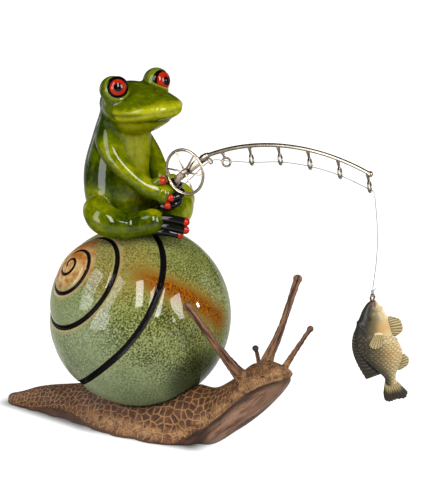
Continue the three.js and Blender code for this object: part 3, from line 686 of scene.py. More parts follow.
def snailFinish(name):
    paint = Paint(name)
    sole, footShadow, dark, tan, streak = [paint.mark(part) for part in ("sole", "footShadow", "dark", "tan", "streak")]
    net = paint.add("ShaderNodeUVMap", {"uv_map": "net"}, {})
    warp = paint.noise(0.9, 2, 0.5, net, "Color")
    bent = paint.vector("ADD", paint.vector("MULTIPLY", warp, (0.35, 0.35, 0)), net)
    edge = paint.cells("DISTANCE_TO_EDGE", bent, 0.66, "2D")
    core = paint.cells("F1", bent, 0.66, "2D")
    cell = paint.cells("F1", bent, 0.66, "2D", "Color")
    plain = paint.step(sole + footShadow + streak, 0.7, 0.2)
    cloud = paint.noise(70, 4, 0.6)
    rough = paint.noise(260, 3, 0.65)
    fine = paint.noise(700, 4, 0.7)
    vein = paint.step(edge + (fine - 0.5) * 0.2 + (rough - 0.5) * 0.16, 0.165, 0.05) * plain
    around = [paint.mark(part) for part in ("ridgeA", "ridgeB", "reach")]
    lines = paint.noise(1.0, 3, 0.6, paint.add("ShaderNodeCombineXYZ", {}, dict(enumerate(around))))
    streaks = paint.layers(
        (46, 25, 15),
        (paint.step(lines, 0.4, 0.6), (146, 101, 68)),
        (paint.step(fine, 0.5, 0.75) * 0.4, (66, 40, 28)))
    tilted = paint.add("ShaderNodeVectorRotate", {"rotation_type": "Y_AXIS"},
                       {"Vector": paint.spot(), "Angle": 0.75})
    grain = paint.noise(1.0, 4, 0.6, paint.vector("MULTIPLY", tilted, (40, 190, 260)))
    soleTone = paint.layers(
        (98, 64, 45),
        (paint.step(grain, 0.38, 0.62), (182, 138, 109)),
        (paint.mark("deep") * 0.85, (74, 48, 36)),
        (paint.step(fine, 0.45, 0.8) * 0.35, (88, 58, 44)))
    tone = paint.layers(
        (82, 45, 22),
        (paint.step(cloud, 0.3, 0.7), (118, 71, 37)),
        (paint.step(core, 0.6, 0.15) * plain * 0.85, (44, 23, 11)),
        (0.25 * plain, paint.mix(cell, (60, 34, 18), (154, 100, 58))),
        (paint.step(fine, 0.48, 0.7) * 0.65, (46, 26, 13)),
        (paint.step(rough + (fine - 0.5) * 0.8, 0.56, 0.74) * 0.4, (176, 120, 72)),
        (tan * paint.step(rough + fine * 0.5, 0.58, 0.86) * 0.8, (202, 152, 102)),
        (vein * paint.step(rough, 0.24, 0.6), paint.mix(fine, (142, 96, 58), (212, 160, 108))),
        (streak, streaks),
        (paint.step(sole, 0.3, 0.7), soleTone),
        # painted shadow along the bottom of the foot
        (footShadow * 0.8, (66, 43, 31)),
        # on the body, painted shade in the skirt groove and under its ridge, and darker at the pit and along
        # the join with the shell; on the stalks, darker tips
        (dark, (38, 24, 17)))
    height = vein * 0.8 + fine * 0.25 + cloud * 0.3 + streak * lines * 0.6
    return paint.set({"Base Color": tone, "Roughness": 0.52 + fine * 0.25 - vein * 0.1,
                      "Specular IOR Level": 0.12, "Normal": paint.bump(height, 0.0014, 0.9)})


def snailRing(x, y, half, low, high, narrow):
    ring = []
    wide = table(x, snail["skirt"])
    waist = half * (1 - narrow / 2)
    flat = snail["flat"]
    wave = 0.55 * math.sin(x * 0.42) + 0.3 * math.sin(x * 0.9 + 1)
    thin = min(1, half / 6)
    room = shell["radius"] + snail["gap"]
    for k in range(snail["sides"]):
        a = 2 * math.pi * k / snail["sides"] - math.pi / 2
        lift = (1 + math.sin(a)) / 2
        side = math.cos(a)
        spot = Vector((x, y + half * side * (1 - narrow * lift), low + (high - low) * lift))
        if a < 0 or a > math.pi:
            turn = 1 + math.sin(a)
            out = wide * min(1, turn / flat)
            if turn > flat:
                out += (waist - wide) * easy(turn, flat, 1.0) ** 0.8
            rise = (low + high) / 2 * max(0, (turn - flat) / (1 - flat)) ** 1.15
            spot = spot.lerp(Vector((x, y + math.copysign(out, side), rise)), easy(x, 47, 36))
        edge = skirtAt(spot)
        close = bell(spot.z - edge, 1.3) if edge > 1.5 else easy(spot.z, 3.0, 0.2)
        frill = close * (0.9 + wave * easy(spot.x, 40, 10)) * min(1, abs(side) * 2.5) * thin
        spot.y += math.copysign(frill, side)
        spot += Vector((0, side, 0.3)) * noise.noise(spot / 8) * 0.5 * thin
        spot.z = max(spot.z, 0)
        hollow = spot - shell["centre"]
        if hollow.length < room:
            spot = shell["centre"] + hollow.normalized() * room
        ring.append(spot)
    return ring


# the cells of the net are laid out flat along and around the body
def layNet(bm, rings, corners):
    net = bm.loops.layers.uv.new("net")
    along = [0]
    for ring, after in zip(rings, rings[1:]):
        middle = (ring[0].x + after[0].x) / 2
        along.append(along[-1] + (after[0] - ring[0]).length / table(middle, snail["cells"]))
    sides = snail["sides"]
    girths = [sum((ring[k - 1] - ring[k]).length for k in range(sides)) / table(ring[0].x, snail["cells"])
              for ring in rings]
    order = {corner: divmod(k, sides) for k, corner in enumerate(corners)}
    for face in bm.faces:
        wrap = {0, sides - 1} <= {order[loop.vert][1] for loop in face.loops}
        for loop in face.loops:
            row, turn = order[loop.vert]
            if wrap and turn == 0:
                turn = sides
            loop[net].uv = (along[row], (turn / sides - 0.5) * girths[row])


def makeSnailBody():
    rings = [snailRing(*row) for row in eased(snail["rows"], snail["steps"])]
    bm = bmesh.new()
    layNet(bm, rings, stack(bm, rings))
    pit = Vector(snail["pit"])

    def groove(spot):
        return 0.75 * bell(skirtAt(spot) - spot.z - 1.4, 1.5) if skirtAt(spot) > 4 else 0

    def wrinkles(spot):
        return easy(spot.x, 62, 70) * easy(spot.z - skirtAt(spot), 0.5, 3) \
            * (0.8 * noise.noise(spot / 4.5) + 0.35 * noise.noise(spot / 2.2))

    def bodyMarks(spot):
        edge = skirtAt(spot)
        above = spot.z - edge
        # a painted shadow darkens the foot up to this height above the floor
        footShadow = table(spot.x, snail["footShadow"])
        tan = max(bell(above - 4, 2.7) * easy(spot.x, -40, 0), bell(above - 0.8, 1.2) * easy(spot.x, 40, 50),
                  0.4 * easy(spot.x, 68, 80))
        deep = max(easy(spot.x, 54, 42), 0.5 * easy(spot.x, 76, 86))
        under = 0.7 * bell(above + 2.2, 2.4) * easy(spot.x, 36, 46) * easy(spot.x, 84, 70)
        joint = 0.55 * bell((spot - shell["centre"]).length - snail["shellLine"], 1.2)
        # painted shade in the groove and under the skirt ridge, darker at the pit and along the join with the
        # shell
        dark = max(0.95 * bell((spot - pit).length, 1.4), 0.8 * groove(spot), under, joint)
        return (easy(above, 0.2, -0.7) if edge > 1.5 else 0, easy(spot.z, footShadow, 0.55 * footShadow) if edge < 4 else 0,
                tan, deep, dark)

    dent(bm, lambda spot: -1.0 * bell((spot - pit).length, 1.3))
    dent(bm, lambda spot: -1.2 * groove(spot))
    dent(bm, wrinkles)
    mark(bm, ("sole", "footShadow", "tan", "deep", "dark"), bodyMarks)
    finished(bm, "snailBody", snailFinish("snailSkin"), "figure", ["snail_foot"], 1)


# stalks: each has a tip radius, how dark its tip is, and rows of [x, y, z, radius]
snailStalks = {
    "grain": 0.36,
    "cell": 2.6,
    "nodes": {"eyeStalkRight": "eye_stalk_right", "eyeStalkLeft": "eye_stalk_left",
              "feelerRight": "feeler_right", "feelerLeft": "feeler_left"},
    "list": [
        ("eyeStalkRight", 2.3, 0.15, [[69, -3.6, 38.5, 5.0], [65.6, -8.0, 44, 3.2], [59.8, -13.8, 55.2, 2.15],
                                      [54.5, -19.5, 66.8, 1.85], [48.9, -26, 79.4, 1.8]]),
        ("eyeStalkLeft", 2.3, 0.1, [[73, 4.5, 42.5, 4.4], [73.5, 7, 49.5, 2.8], [74.6, 12.5, 57.4, 2.1],
                                    [75.7, 17.5, 67.4, 1.7], [77.7, 25, 85.1, 1.9]]),
        ("feelerRight", 1.6, 0.9, [[79, -5, 40.5, 1.9], [79.6, -7, 44.7, 1.5], [80.2, -11, 53.7, 1.15],
                                   [81.3, -15.5, 62.1, 1.0]]),
        ("feelerLeft", 1.7, 0.35, [[84, 3, 44.5, 2.2], [85.5, 5.5, 49.2, 1.6], [87.9, 11, 56.4, 1.25],
                                   [90.5, 17.5, 64.1, 1.1]]),
    ],
}


def makeStalk(name, tip, crown, rows, material):
    bm = bmesh.new()
    limb(bm, rows, 20, 8, xWay)
    end = Vector(rows[-1][:3])
    blob(bm, end, (tip, tip, tip))
    bm = fuse(bm, snailStalks["grain"], 4)
    dent(bm, lambda spot: 0.22 * noise.noise(Vector((spot.x, spot.y, spot.z * 0.35)) * 0.9))
    lay(bm, "net", lambda spot: spot.xz / snailStalks["cell"])
    spine = [Vector(row[:3]) for row in eased(rows, 8)]

    def stalkMarks(spot):
        k = min(range(1, len(spine)), key=lambda n: (spot - spine[n]).length)
        way = (spine[k] - spine[k - 1]).normalized()
        side = way.cross(yWay).normalized()
        out = spot - spine[k]
        reach = sum((b - a).length for a, b in zip(spine[:k], spine[1:k + 1])) + out.dot(way)
        turn = math.atan2(out.dot(side.cross(way)), out.dot(side))
        dark = crown * easy((spot - end).length, tip + 1.5, tip)
        return (0.8 * easy(reach, 14, 6), easy(reach, 5, 12), 1.5 * math.cos(turn), 1.5 * math.sin(turn),
                0.07 * reach, dark)

    mark(bm, ("tan", "streak", "ridgeA", "ridgeB", "reach", "dark"), stalkMarks)
    finished(bm, name, material, "figure", [snailStalks["nodes"][name]])


def makeSnail():
    makeSnailBody()
    skin = snailFinish("snailStalkSkin")
    for stalk in snailStalks["list"]:
        makeStalk(*stalk, skin)
    print("snail made")


makeSnail()

# frog: rows are in its own frame, forward, left and up from its seat on the shell
frog = {
    "seat": Vector((0, 0, 102.2)),
    "turn": math.radians(-14),
    "grain": 0.62,
    "torso": [[-10, 3.5, 16, 13], [-13, 14, 19, 17], [-14.8, 28, 18.4, 17.4], [-13, 44, 15.2, 14.2],
              [-10.6, 55, 13.6, 11.8], [-9, 62, 13, 11]],
    "head": [[-15, 62, 11, 9], [-9, 63, 15, 10.8], [-2, 63.6, 17.4, 10.4], [6, 64, 17, 9.0],
             [13, 64.6, 15.2, 7.4], [18.5, 65.2, 12.8, 5.9], [22.4, 65.8, 9.4, 4.6]],
    "jaw": [[-12, 57, 10, 7.2], [-4, 55.8, 12, 7.4], [4, 56.6, 11.5, 6.4], [11, 58.8, 9.5, 5.2],
            [17, 61.2, 7, 4.2]],
    "rightThigh": [[-13, -12, 9, 7.4], [-6.4, -21.6, 13.2, 6.6], [-1.5, -22.6, 11, 7.8],
                   [3.4, -20.6, 8.6, 7.6], [7, -16, 7.2, 6.8]],
    "rightShin": [[5, -18, 7.2, 6.8], [9, -12.8, 7, 6.4], [13, -8, 8, 6.2], [16.5, -4.6, 9.4, 6.2]],
    "leftThigh": [[-12, 8, 11, 10], [-5, 16, 11.5, 10], [2, 22.5, 12, 9]],
    "leftShin": [[2, 22, 11, 9], [11, 15, 9.5, 8], [17, 8, 8, 6.5]],
    "lid": 6.7,
    "lidPlace": (-2.4, 13.4, 73),
    "mouth": [(0, 61.0), (2.5, 61.1), (7, 61.4), (13, 62.4), (19, 64.0), (23, 65.2), (27, 65.8)],
    "toes": [[[15.5, -7.5, 113.0], [24, -5.6, 113.6], [31.0, -3, 112.6]],  # in the shared frame
             [[15.5, -8, 109.4], [23.6, -6.4, 109.8], [30.8, -3, 108.5]],
             [[15.5, -8, 106.4], [21.6, -6.6, 106.8], [27.2, -3, 105.4]]],
    "digit": 1.95,
    "hollow": 45.7,  # how near to the middle of the shell the haunches reach
    "hollowTop": 112,
    "bottom": 100.8,
}
frogMarks = ("light", "rim", "black", "nail")


def frogSpot(forward, left, up):
    return Matrix.Rotation(frog["turn"], 3, "Z") @ Vector((forward, left, up)) + frog["seat"]


def frogOwn(spot):
    return Matrix.Rotation(-frog["turn"], 3, "Z") @ (spot - frog["seat"])


def frogFinish():
    paint = Paint("frogGlaze")
    light, rim, black, nail = [paint.mark(name) for name in frogMarks]
    cloud = paint.noise(95, 4, 0.62)
    fine = paint.noise(420, 3, 0.6)
    fleck = paint.noise(240, 3, 0.7)
    share = light + (cloud - 0.5) + (fleck - 0.5) * 0.9 + (fine - 0.5) * 0.4
    tone = paint.layers(
        (36, 50, 2),
        (paint.step(share, -0.05, 0.45), (84, 98, 2)),
        (paint.step(share, 0.4, 0.9), (144, 146, 8)),
        (paint.step(share, 0.85, 1.3), (168, 170, 22)),
        (paint.step(fine, 0.55, 0.8) * 0.3, (62, 82, 3)),
        (rim * 0.5, (150, 160, 40)),
        (paint.step(black, 0.35, 0.65), paint.mix(fine, (10, 11, 9), (24, 24, 20))),
        (paint.step(nail, 0.4, 0.6), paint.mix(fine, (160, 26, 8), (196, 50, 22))))
    return paint.set({"Base Color": tone, "Roughness": 0.35 + fine * 0.2,
                      "Normal": paint.bump(cloud * 0.6 + fine * 0.4, 0.0005, 0.3), **paint.glaze()})


# a finger or toe that may have a nail at its end, added to a finished skin
def digit(bm, path, radius, black, light, up, nailed=1):
    layers = [bm.verts.layers.float[name] for name in frogMarks]
    corners = limb(bm, [[*spot, radius * (1.12 - 0.06 * k)] for k, spot in enumerate(path)], 18, 6, up)
    tip = Vector(path[-1])
    way = (tip - Vector(path[-2])).normalized()
    for corner in corners:
        spot = corner.co / mm
        ahead = (spot - tip).dot(way)
        nail = nailed * easy(ahead, -0.9, -0.4)
        corner.co += (spot - tip - way * ahead).normalized() * 0.18 * bell(ahead + 0.2, 0.9) * mm
        for layer, value in zip(layers, (light, 0, black, nail)):
            corner[layer] = value


def makeFrogBody(material):
    bm = bmesh.new()

    def lump(name, up, blunt):
        rows = [[*frogSpot(front, 0, high), wide, deep] for front, high, wide, deep in frog[name]]
        limb(bm, rows, 40, 8, up, blunt)

    lump("torso", frogSpot(1, 0, 0) - frogSpot(0, 0, 0), 0.3)
    lump("head", zWay, 0.8)
    for name in ("rightThigh", "rightShin", "leftThigh", "leftShin"):
        limb(bm, [[*frogSpot(*spot), radius] for *spot, radius in frog[name]], 32, 8)
    front, left, high = frog["lidPlace"]
    for side in (-1, 1):
        blob(bm, frogSpot(front, side * left, high), (frog["lid"],) * 3)
        blob(bm, frogSpot(front + 1, side * (left - 2), high - 4), (7, 7, 6))
    lump("jaw", zWay, 0.8)
    bm = fuse(bm, frog["grain"], 6)

    # height above the line of the mouth, and where there is a mouth
    def mouthAt(own):
        return own.z - table(own.x, frog["mouth"]), easy(own.x, 0.5, 3.5) * easy(own.z, 52, 55)

    def moulding(spot):
        own = frogOwn(spot)
        above, live = mouthAt(own)
        lips = 0.5 * bell(above - 2.2, 1.4) + 0.45 * bell(above + 2.0, 1.3) - 0.8 * bell(above, 0.75)
        return live * (1 - 0.85 * easy(own.x, 14, 23)) * lips

    dent(bm, moulding)
    for vert in bm.verts:
        spot = vert.co / mm
        hollow = spot - shell["centre"]
        if hollow.length < frog["hollow"] and spot.z < frog["hollowTop"]:
            spot = shell["centre"] + hollow.normalized() * frog["hollow"]
        spot.z = max(spot.z, frog["bottom"])
        vert.co = spot * mm

    def lightness(spot):
        own = frogOwn(spot)
        above, live = mouthAt(own)
        belly = 0.85 * bell(own.y, 12) * easy(own.x, -9, 1) * easy(own.z, 58, 51) * easy(own.z, 8, 18)
        lips = live * max(bell(above - 1.6, 2.6), bell(above + 1.6, 2.2))
        chin = 0.75 * easy(own.z, 62, 58) * easy(own.z, 46, 50) * easy(own.x, -8, 2)
        cheek = 0.3 * easy(own.z, 56, 60) * easy(own.z, 68, 63) * easy(own.x, -12, -4)
        # the 0.25 term makes the lowest part of the legs lighter: painted light thrown up from below
        legTone = 0.36 + 0.14 * easy(own.z, 13, 20) + 0.25 * easy(own.z, 12, 5) \
            + 0.3 * easy(own.y, 8, 18) - 0.32 * easy(own.x, 4, 10) * easy(own.y, 6, 0)
        legs = easy(own.z, 26, 20) * easy(abs(own.y) + max(own.x, 0), 12, 18) * legTone
        back = -0.35 * easy(own.x, -14, -24)
        crown = 0.28 * easy(own.z, 64, 69) * easy(own.x, -10, 0)
        lids = -0.2 * easy(own.z, 71, 74) * easy(own.y, 2, 6)
        return max(belly, lips, chin, cheek, legs) + 0.08 + back + crown + lids

    def rimShare(spot, eye):
        return easy((spot - frogSpot(*eye["place"])).length, eye["radius"] + 1.5, eye["radius"] + 0.5)

    mark(bm, frogMarks, lambda spot: (lightness(spot), max(rimShare(spot, eye) for eye in eyes["list"])))
    for toe in frog["toes"]:
        digit(bm, toe, frog["digit"], 1, 0, zWay)
    finished(bm, "frogBody", material, "figure", ["frog_body"])
    print("frog body made")


# arms: sleeves in the frog's frame, palms and fingers in the shared frame
arms = {
    "grain": 0.5,
    "right": {
        "sleeve": [[-12.3, -5.0, 51.5, 7.2], [-10.2, -9.6, 46.4, 7.6], [-3.4, -12.6, 39.8, 5.9],
                   [4.8, -10.2, 32.2, 5.0], [12, -5.6, 26.2, 4.7]],
        "palm": [(15.6, -5.2, 126.2, 4.7), (18.6, -3.4, 124.6, 4.9)],
        "green": [[[13.4, -6.8, 129.4], [16.4, -7.0, 131.2], [19.0, -5.8, 132.1]]],
        "black": [[[20, 3, 125.2], [24.8, 1.6, 125.4], [26.2, -2.4, 125.0], [24.2, -6.0, 124.3]],
                  [[18.5, 3, 121.2], [23.2, 1.4, 121.2], [24.6, -2.4, 120.8], [22.2, -5.8, 120.1]],
                  [[17, 2, 119], [20.6, 0, 118.6], [20.0, -3.2, 118.2], [17.2, -3.8, 118.6]]],
        "nails": 2,
    },
    "left": {
        "sleeve": [[-14, 7, 48, 6.6], [-12, 10, 43, 6.2], [-5, 11.5, 36.5, 5.2], [3, 10, 30, 4.7],
                   [9, 8.2, 26.5, 4.4]],
        "palm": [(13.5, 8.2, 125, 4.4), (15.2, 6.6, 124.6, 4.2)],
        "green": [[[13, 7.4, 128.2], [15.6, 6.2, 130], [17.4, 4.8, 130.6]]],
        "black": [[[14, 9.6, 126.4], [18, 8.4, 126.4], [19.8, 5.4, 126.2]],
                  [[13.4, 9.4, 122.8], [17.2, 8.2, 122.6], [18.8, 5.6, 122.4]],
                  [[13, 9, 119.8], [16, 7.6, 119.4], [17.4, 5.4, 119.2]]],
        "nails": 0,
    },
    "middle": [(-14.5, 50), (-10.5, 45.2), (-3.5, 38.6), (4.6, 31.4), (12, 25.8), (20, 23)],
    "thumb": 2.0,
}


def makeArm(name, arm, material, node):
    bm = bmesh.new()
    rows = [[*frogSpot(*spot), radius] for *spot, radius in arm["sleeve"]]
    limb(bm, rows + [[*arm["palm"][0]]], 28, 8)
    for *spot, radius in arm["palm"]:
        blob(bm, spot, (radius, radius, radius))
    bm = fuse(bm, arms["grain"], 5)

    def lightness(spot):
        own = frogOwn(spot)
        middle = table(own.x, arms["middle"])
        sleeve = 0.22 + 0.42 * easy(own.z - middle, -2, 5) + 0.2 * easy(spot.x, 8, 16)
        return sleeve + (0.08 + 0.4 * easy(own.x, -11, -4) - sleeve) * easy(own.z, 40, 50)

    mark(bm, frogMarks, lambda spot: (lightness(spot),))
    for path in arm["green"]:
        digit(bm, path, arms["thumb"], 0, 0.6, yWay, min(1, arm["nails"]))
    for k, path in enumerate(arm["black"]):
        digit(bm, path, frog["digit"], 1, 0, zWay, 1 if k < arm["nails"] else 0)
    finished(bm, name, material, "figure", [node])
    print(name, "made")


# eyes: places and gazes in the frog's frame
eyes = {
    "list": [
        {"name": "frogEyeRight", "node": "eye_right", "place": (1.7, -13.9, 75.0),
         "gaze": (0.82, -0.54, 0.23), "radius": 5.4, "iris": 0.80},
        {"name": "frogEyeLeft", "node": "eye_left", "place": (-0.6, 13.4, 73.4),
         "gaze": (0.95, 0.13, 0.15), "radius": 5.7, "iris": 0.92},
    ],
    "pupil": 0.39,
    "blur": 0.03,
    "swell": 0.12,
}


def makeEye(eye):
    centre = frogSpot(*eye["place"])
    gaze = (frogSpot(*eye["gaze"]) - frog["seat"]).normalized()
    bm = bmesh.new()
    bmesh.ops.create_icosphere(bm, subdivisions=5, radius=1)
    for vert in bm.verts:
        way = vert.co.normalized()
        swell = eyes["swell"] * easy(way.dot(gaze), 0.55, 1.0)  # the cornea stands a little proud
        vert.co = (centre + way * (eye["radius"] + swell)) * mm
    paint = Paint(eye["name"] + "Glaze")
    angle = paint.math("ARCCOSINE", paint.dot(paint.wayFrom(centre), gaze))
    uneven = angle + (paint.noise(420, 2) - 0.5) * 0.1
    grain = paint.noise(900, 3, 0.6)
    pupil, blur = eyes["pupil"], eyes["blur"]
    red = paint.layers(
        (160, 26, 6),
        (grain, (196, 48, 16)),
        (paint.step(angle, pupil + 0.25, pupil) * 0.4, (120, 14, 4)))
    tone = paint.layers(
        (8, 7, 8),
        (paint.step(uneven, pupil - blur, pupil + blur), red),
        (paint.step(uneven, eye["iris"] - blur, eye["iris"] + blur), (12, 10, 9)))
    material = paint.set({"Base Color": tone, "Roughness": 0.3 + grain * 0.1,
                          "Normal": paint.bump(grain, 0.0001, 0.15), **paint.glaze()})
    finished(bm, eye["name"], material, "figure", [eye["node"]])


def makeFrog():
    glaze = frogFinish()
    makeFrogBody(glaze)
    makeArm("frogArmRight", arms["right"], glaze, "frog_arm_right")
    makeArm("frogArmLeft", arms["left"], glaze, "frog_arm_left")
    for eye in eyes["list"]:
        makeEye(eye)
    print("frog made")


makeFrog()

# rod
rod = {
    "butt": Vector((13.2, 0, 123.8)),
    "rise": math.radians(39.5),
    "length": 36.5,
    "width": 3.6,
    "thick": 1.1,
    "buttRound": 1.7,
    "edge": 0.16,
    "ferrule": 3.0,
    "lug": {"drop": 3.08, "ring": 1.4, "wire": 0.42},
    "blankRise": math.radians(26),
    "blankBend": 124.0,
    "blankLength": 94.6,
    "blankRadius": 1.05,
    "blankTaper": 0.15,
    "blankSteps": 24,
    "firstGuide": 9.7,
    "guideSpacing": 16.7,
    "guideWire": 0.55,
    "guideFirst": {"drop": 5.8, "lean": math.radians(28), "ring": 2.1, "turn": math.radians(25)},
    "guideOther": {"drop": 6.7, "lean": math.radians(12), "ring": 2.45, "turn": math.radians(-18)},
    "reelAlong": 21.5,
}
rod["way"] = Vector((math.cos(rod["rise"]), 0, math.sin(rod["rise"])))
rod["up"] = Vector((-math.sin(rod["rise"]), 0, math.cos(rod["rise"])))
rod["end"] = rod["butt"] + rod["way"] * rod["length"]


def blankAt(along):
    slope = rod["blankRise"] - along / rod["blankBend"]
    return rod["end"] + Vector((rod["blankBend"] * (math.sin(rod["blankRise"]) - math.sin(slope)), 0,
                                rod["blankBend"] * (math.cos(slope) - math.cos(rod["blankRise"]))))


def nickelFinish(name, low, high):
    paint = Paint(name)
    smear = paint.noise(180, 4, 0.6)
    fine = paint.noise(1400, 3, 0.65)
    tone = paint.layers(low, (smear, high), (paint.step(fine, 0.62, 0.8) * 0.3, (60, 53, 43, 1)))
    return paint.set({"Base Color": tone, "Metallic": 1.0, "Roughness": 0.2 + smear * 0.08 + fine * 0.05,
                      "Normal": paint.bump(smear, 0.00005, 0.1)})


def ease(bm, edges, offset, segments=2):
    bmesh.ops.bevel(bm, geom=edges, offset=offset * mm, affect="EDGES", segments=segments, profile=0.5,
                    material=-1)


# a round bar between two points, with its end edges eased
def bar(bm, start, end, radius, endRadius, sides, easing):
    way = end - start
    place = Matrix.Translation((start + end) / 2 * mm) @ way.to_track_quat("Z", "Y").to_matrix().to_4x4()
    made = bmesh.ops.create_cone(bm, cap_ends=True, segments=sides, radius1=radius * mm,
                                 radius2=endRadius * mm, depth=way.length * mm, matrix=place)
    rims = {e for v in made["verts"] for e in v.link_edges if len(e.link_faces) == 2
            and any(len(f.verts) == sides for f in e.link_faces)}
    ease(bm, list(rims), easing)


# a wire ring spun about its own middle
def hoop(bm, centre, axis, radius, wire, steps, sides=12):
    side = axis.orthogonal().normalized()
    turn = Matrix((side, axis.normalized(), side.cross(axis.normalized()))).transposed().to_4x4()
    place = Matrix.Translation((centre + side * radius) * mm) @ turn
    made = bmesh.ops.create_circle(bm, segments=sides, radius=wire * mm, matrix=place)
    edges = list({e for v in made["verts"] for e in v.link_edges})
    bmesh.ops.spin(bm, geom=made["verts"] + edges, cent=centre * mm, axis=axis, angle=2 * math.pi,
                   steps=steps, use_merge=True)


def makeRod():
    nickel = nickelFinish("rodNickel", (78, 70, 59, 1), (142, 132, 117, 1))
    # a darker copy of the same nickel for the guides
    darkerNickel = nickelFinish("guideNickel", (44, 39, 32, 1), (108, 100, 88, 1))

    def done(bm, name, nodes, metal=nickel):
        return finished(bm, name, metal, "figure", nodes)

    # the handle is a flat strip with a rounded butt
    bm = bmesh.new()
    turn = Matrix((rod["way"], yWay, rod["up"])).transposed().to_4x4()
    long = rod["length"] - rod["ferrule"] / 2
    middle = rod["butt"] + rod["way"] * (long - rod["width"] / 2) / 2
    sizes = Vector((long + rod["width"] / 2, rod["thick"], rod["width"], 1 / mm)) * mm
    bmesh.ops.create_cube(bm, size=1, matrix=Matrix.Translation(middle * mm) @ turn @ Matrix.Diagonal(sizes))
    butts = [e for e in bm.edges if all((v.co / mm - rod["butt"]).dot(rod["way"]) < 0 for v in e.verts)
             and abs((e.verts[0].co - e.verts[1].co).y) > 0.5 * mm]
    ease(bm, butts, rod["buttRound"], 6)
    ease(bm, list(bm.edges), rod["edge"])
    done(bm, "rodHandle", ["rod_handle"])

    bm = bmesh.new()
    lug = rod["lug"]
    bar(bm, rod["end"] - rod["way"] * rod["ferrule"], rod["end"] + rod["way"] * 0.2, 2.1, 1.6, 32, 0.3)
    bar(bm, rod["end"], blankAt(1.2), 1.5, 1.3, 32, 0.25)
    hoop(bm, rod["end"] - rod["up"] * lug["drop"], rod["way"], lug["ring"], lug["wire"], 28)
    done(bm, "rodFerrule", ["rod_ferrule"])

    bm = bmesh.new()
    shares = [k / rod["blankSteps"] for k in range(rod["blankSteps"] + 1)]
    rows = [[*blankAt(rod["blankLength"] * t), rod["blankRadius"] - rod["blankTaper"] * t] for t in shares]
    limb(bm, rows, 24, 3, yWay, 0.4)
    done(bm, "rodBlank", ["rod_blank"])

    bm = bmesh.new()
    tip = blankAt(rod["blankLength"])
    way = (tip - blankAt(rod["blankLength"] - 1)).normalized()
    bar(bm, tip - way * 0.5, tip + way * 1.4, 1.4, 1.25, 32, 0.35)
    done(bm, "rodTipCap", ["rod_tip_cap"])

    for number in range(6):
        guide = rod["guideOther" if number else "guideFirst"]
        lean, ring = guide["lean"], guide["ring"]
        hang = Vector((math.sin(lean), 0, -math.cos(lean)))
        across = Vector((math.cos(lean), 0, math.sin(lean)))
        seat = blankAt(rod["firstGuide"] + rod["guideSpacing"] * number)
        centre = seat + hang * guide["drop"]
        bm = bmesh.new()
        bar(bm, seat + hang * 0.7, centre - hang * ring, 0.95, 0.5, 20, 0.1)
        hoop(bm, centre, Quaternion(hang, guide["turn"]) @ across, ring, rod["guideWire"], 32)
        hoop(bm, centre - hang * (ring + 0.1), hang, 0.42, 0.3, 16, 8)
        hoop(bm, seat + hang * 1.15, hang, 0.8, 0.28, 20, 8)
        done(bm, f"lineGuide{number + 1}", [f"line_guide_{number + 1}"], darkerNickel)
    print("rod made")
    return nickel


# reel wheel
reel = {"radius": 11.7, "wire": 0.62, "lining": 0.3, "spokes": 6, "hub": 1.35, "y": -2.15, "hubLength": 2.6}


def makeReel(nickel):
    hub = rod["butt"] + rod["way"] * rod["reelAlong"]
    centre = Vector((hub.x, reel["y"], hub.z))
    rim = reel["radius"] - reel["wire"]
    bm = bmesh.new()
    hoop(bm, centre, yWay, rim, reel["wire"], 96, 14)
    hoop(bm, centre, yWay, reel["radius"] - 2.05 * reel["wire"], reel["lining"], 96, 8)
    for k in range(reel["spokes"]):
        a = math.radians(360 * k / reel["spokes"])
        bar(bm, centre, centre + Vector((math.cos(a), 0, math.sin(a))) * rim, 0.5, 0.42, 14, 0.08)
    out = Vector((0, reel["hubLength"] / 2, 0))
    bar(bm, centre - out, centre + out, reel["hub"] * 0.8, reel["hub"] * 0.8, 32, 0.25)
    bar(bm, centre - out * 0.5, centre + out * 0.5, reel["hub"], reel["hub"], 32, 0.25)
    finished(bm, "reelWheel", nickel, "reel", ["reel_wheel"])
    bm = bmesh.new()
    head = centre - out - Vector((0, 0.3, 0))
    bar(bm, Vector((hub.x, rod["thick"] / 2, hub.z)), head, 0.8, 0.8, 24, 0.1)
    blob(bm, head, (1.05, 0.7, 1.05))
    finished(bm, "reelAxle", nickel, "figure", ["reel_axle"])
    print("reel made")


makeReel(makeRod())

# fish: rows of [across, down, half depth, half thickness] from the middle of its eyelet
fish = {
    "eyelet": Vector((136.36, 0, 94.54)),
    "turn": line["fishTurn"],
    "lean": math.radians(0.5),
    "rows": [
        [0.4, 1.7, 1.45, 1.2],
        [0.15, 3.3, 2.9, 2.2],
        [0.29, 5.93, 4.63, 3.4],
        [0.53, 8.8, 6.37, 4.5],
        [0.58, 12.82, 7.72, 5.2],
        [0.87, 16.36, 8.69, 5.6],
        [1.64, 20, 9.55, 5.7],
        [3.09, 23.64, 10.23, 5.6],
        [4.25, 27.18, 10.13, 5],
        [5.4, 30.82, 8.69, 4.2],
        [6.47, 34.36, 6.18, 3.2],
        [7.91, 37.99, 3.57, 2.1],
        [8.78, 40.19, 2.61, 1.6],
        [8.97, 42.11, 2.61, 1.1],
        [9.07, 43.45, 2.32, 0.8],
    ],
    "gill": [(0, 20.5), (4, 19.5), (8, 17.5), (12, 12)],
    "eye": (-1.6, 3.4, 9.2),
    "cheek": (5.2, 13.4),  # across and down
    "belly": (10, 26),
    "mouth": (0.2, 2.7),
    "scale": 2.3,
    "eyeletRing": 1.5,
    "eyeletWire": 0.48,
    "shank": (1.5, 5.3),
    "collar": 2.6,
}
fishMarks = ("back", "warm", "scaled", "dark", "mouth", "fin", "ray")


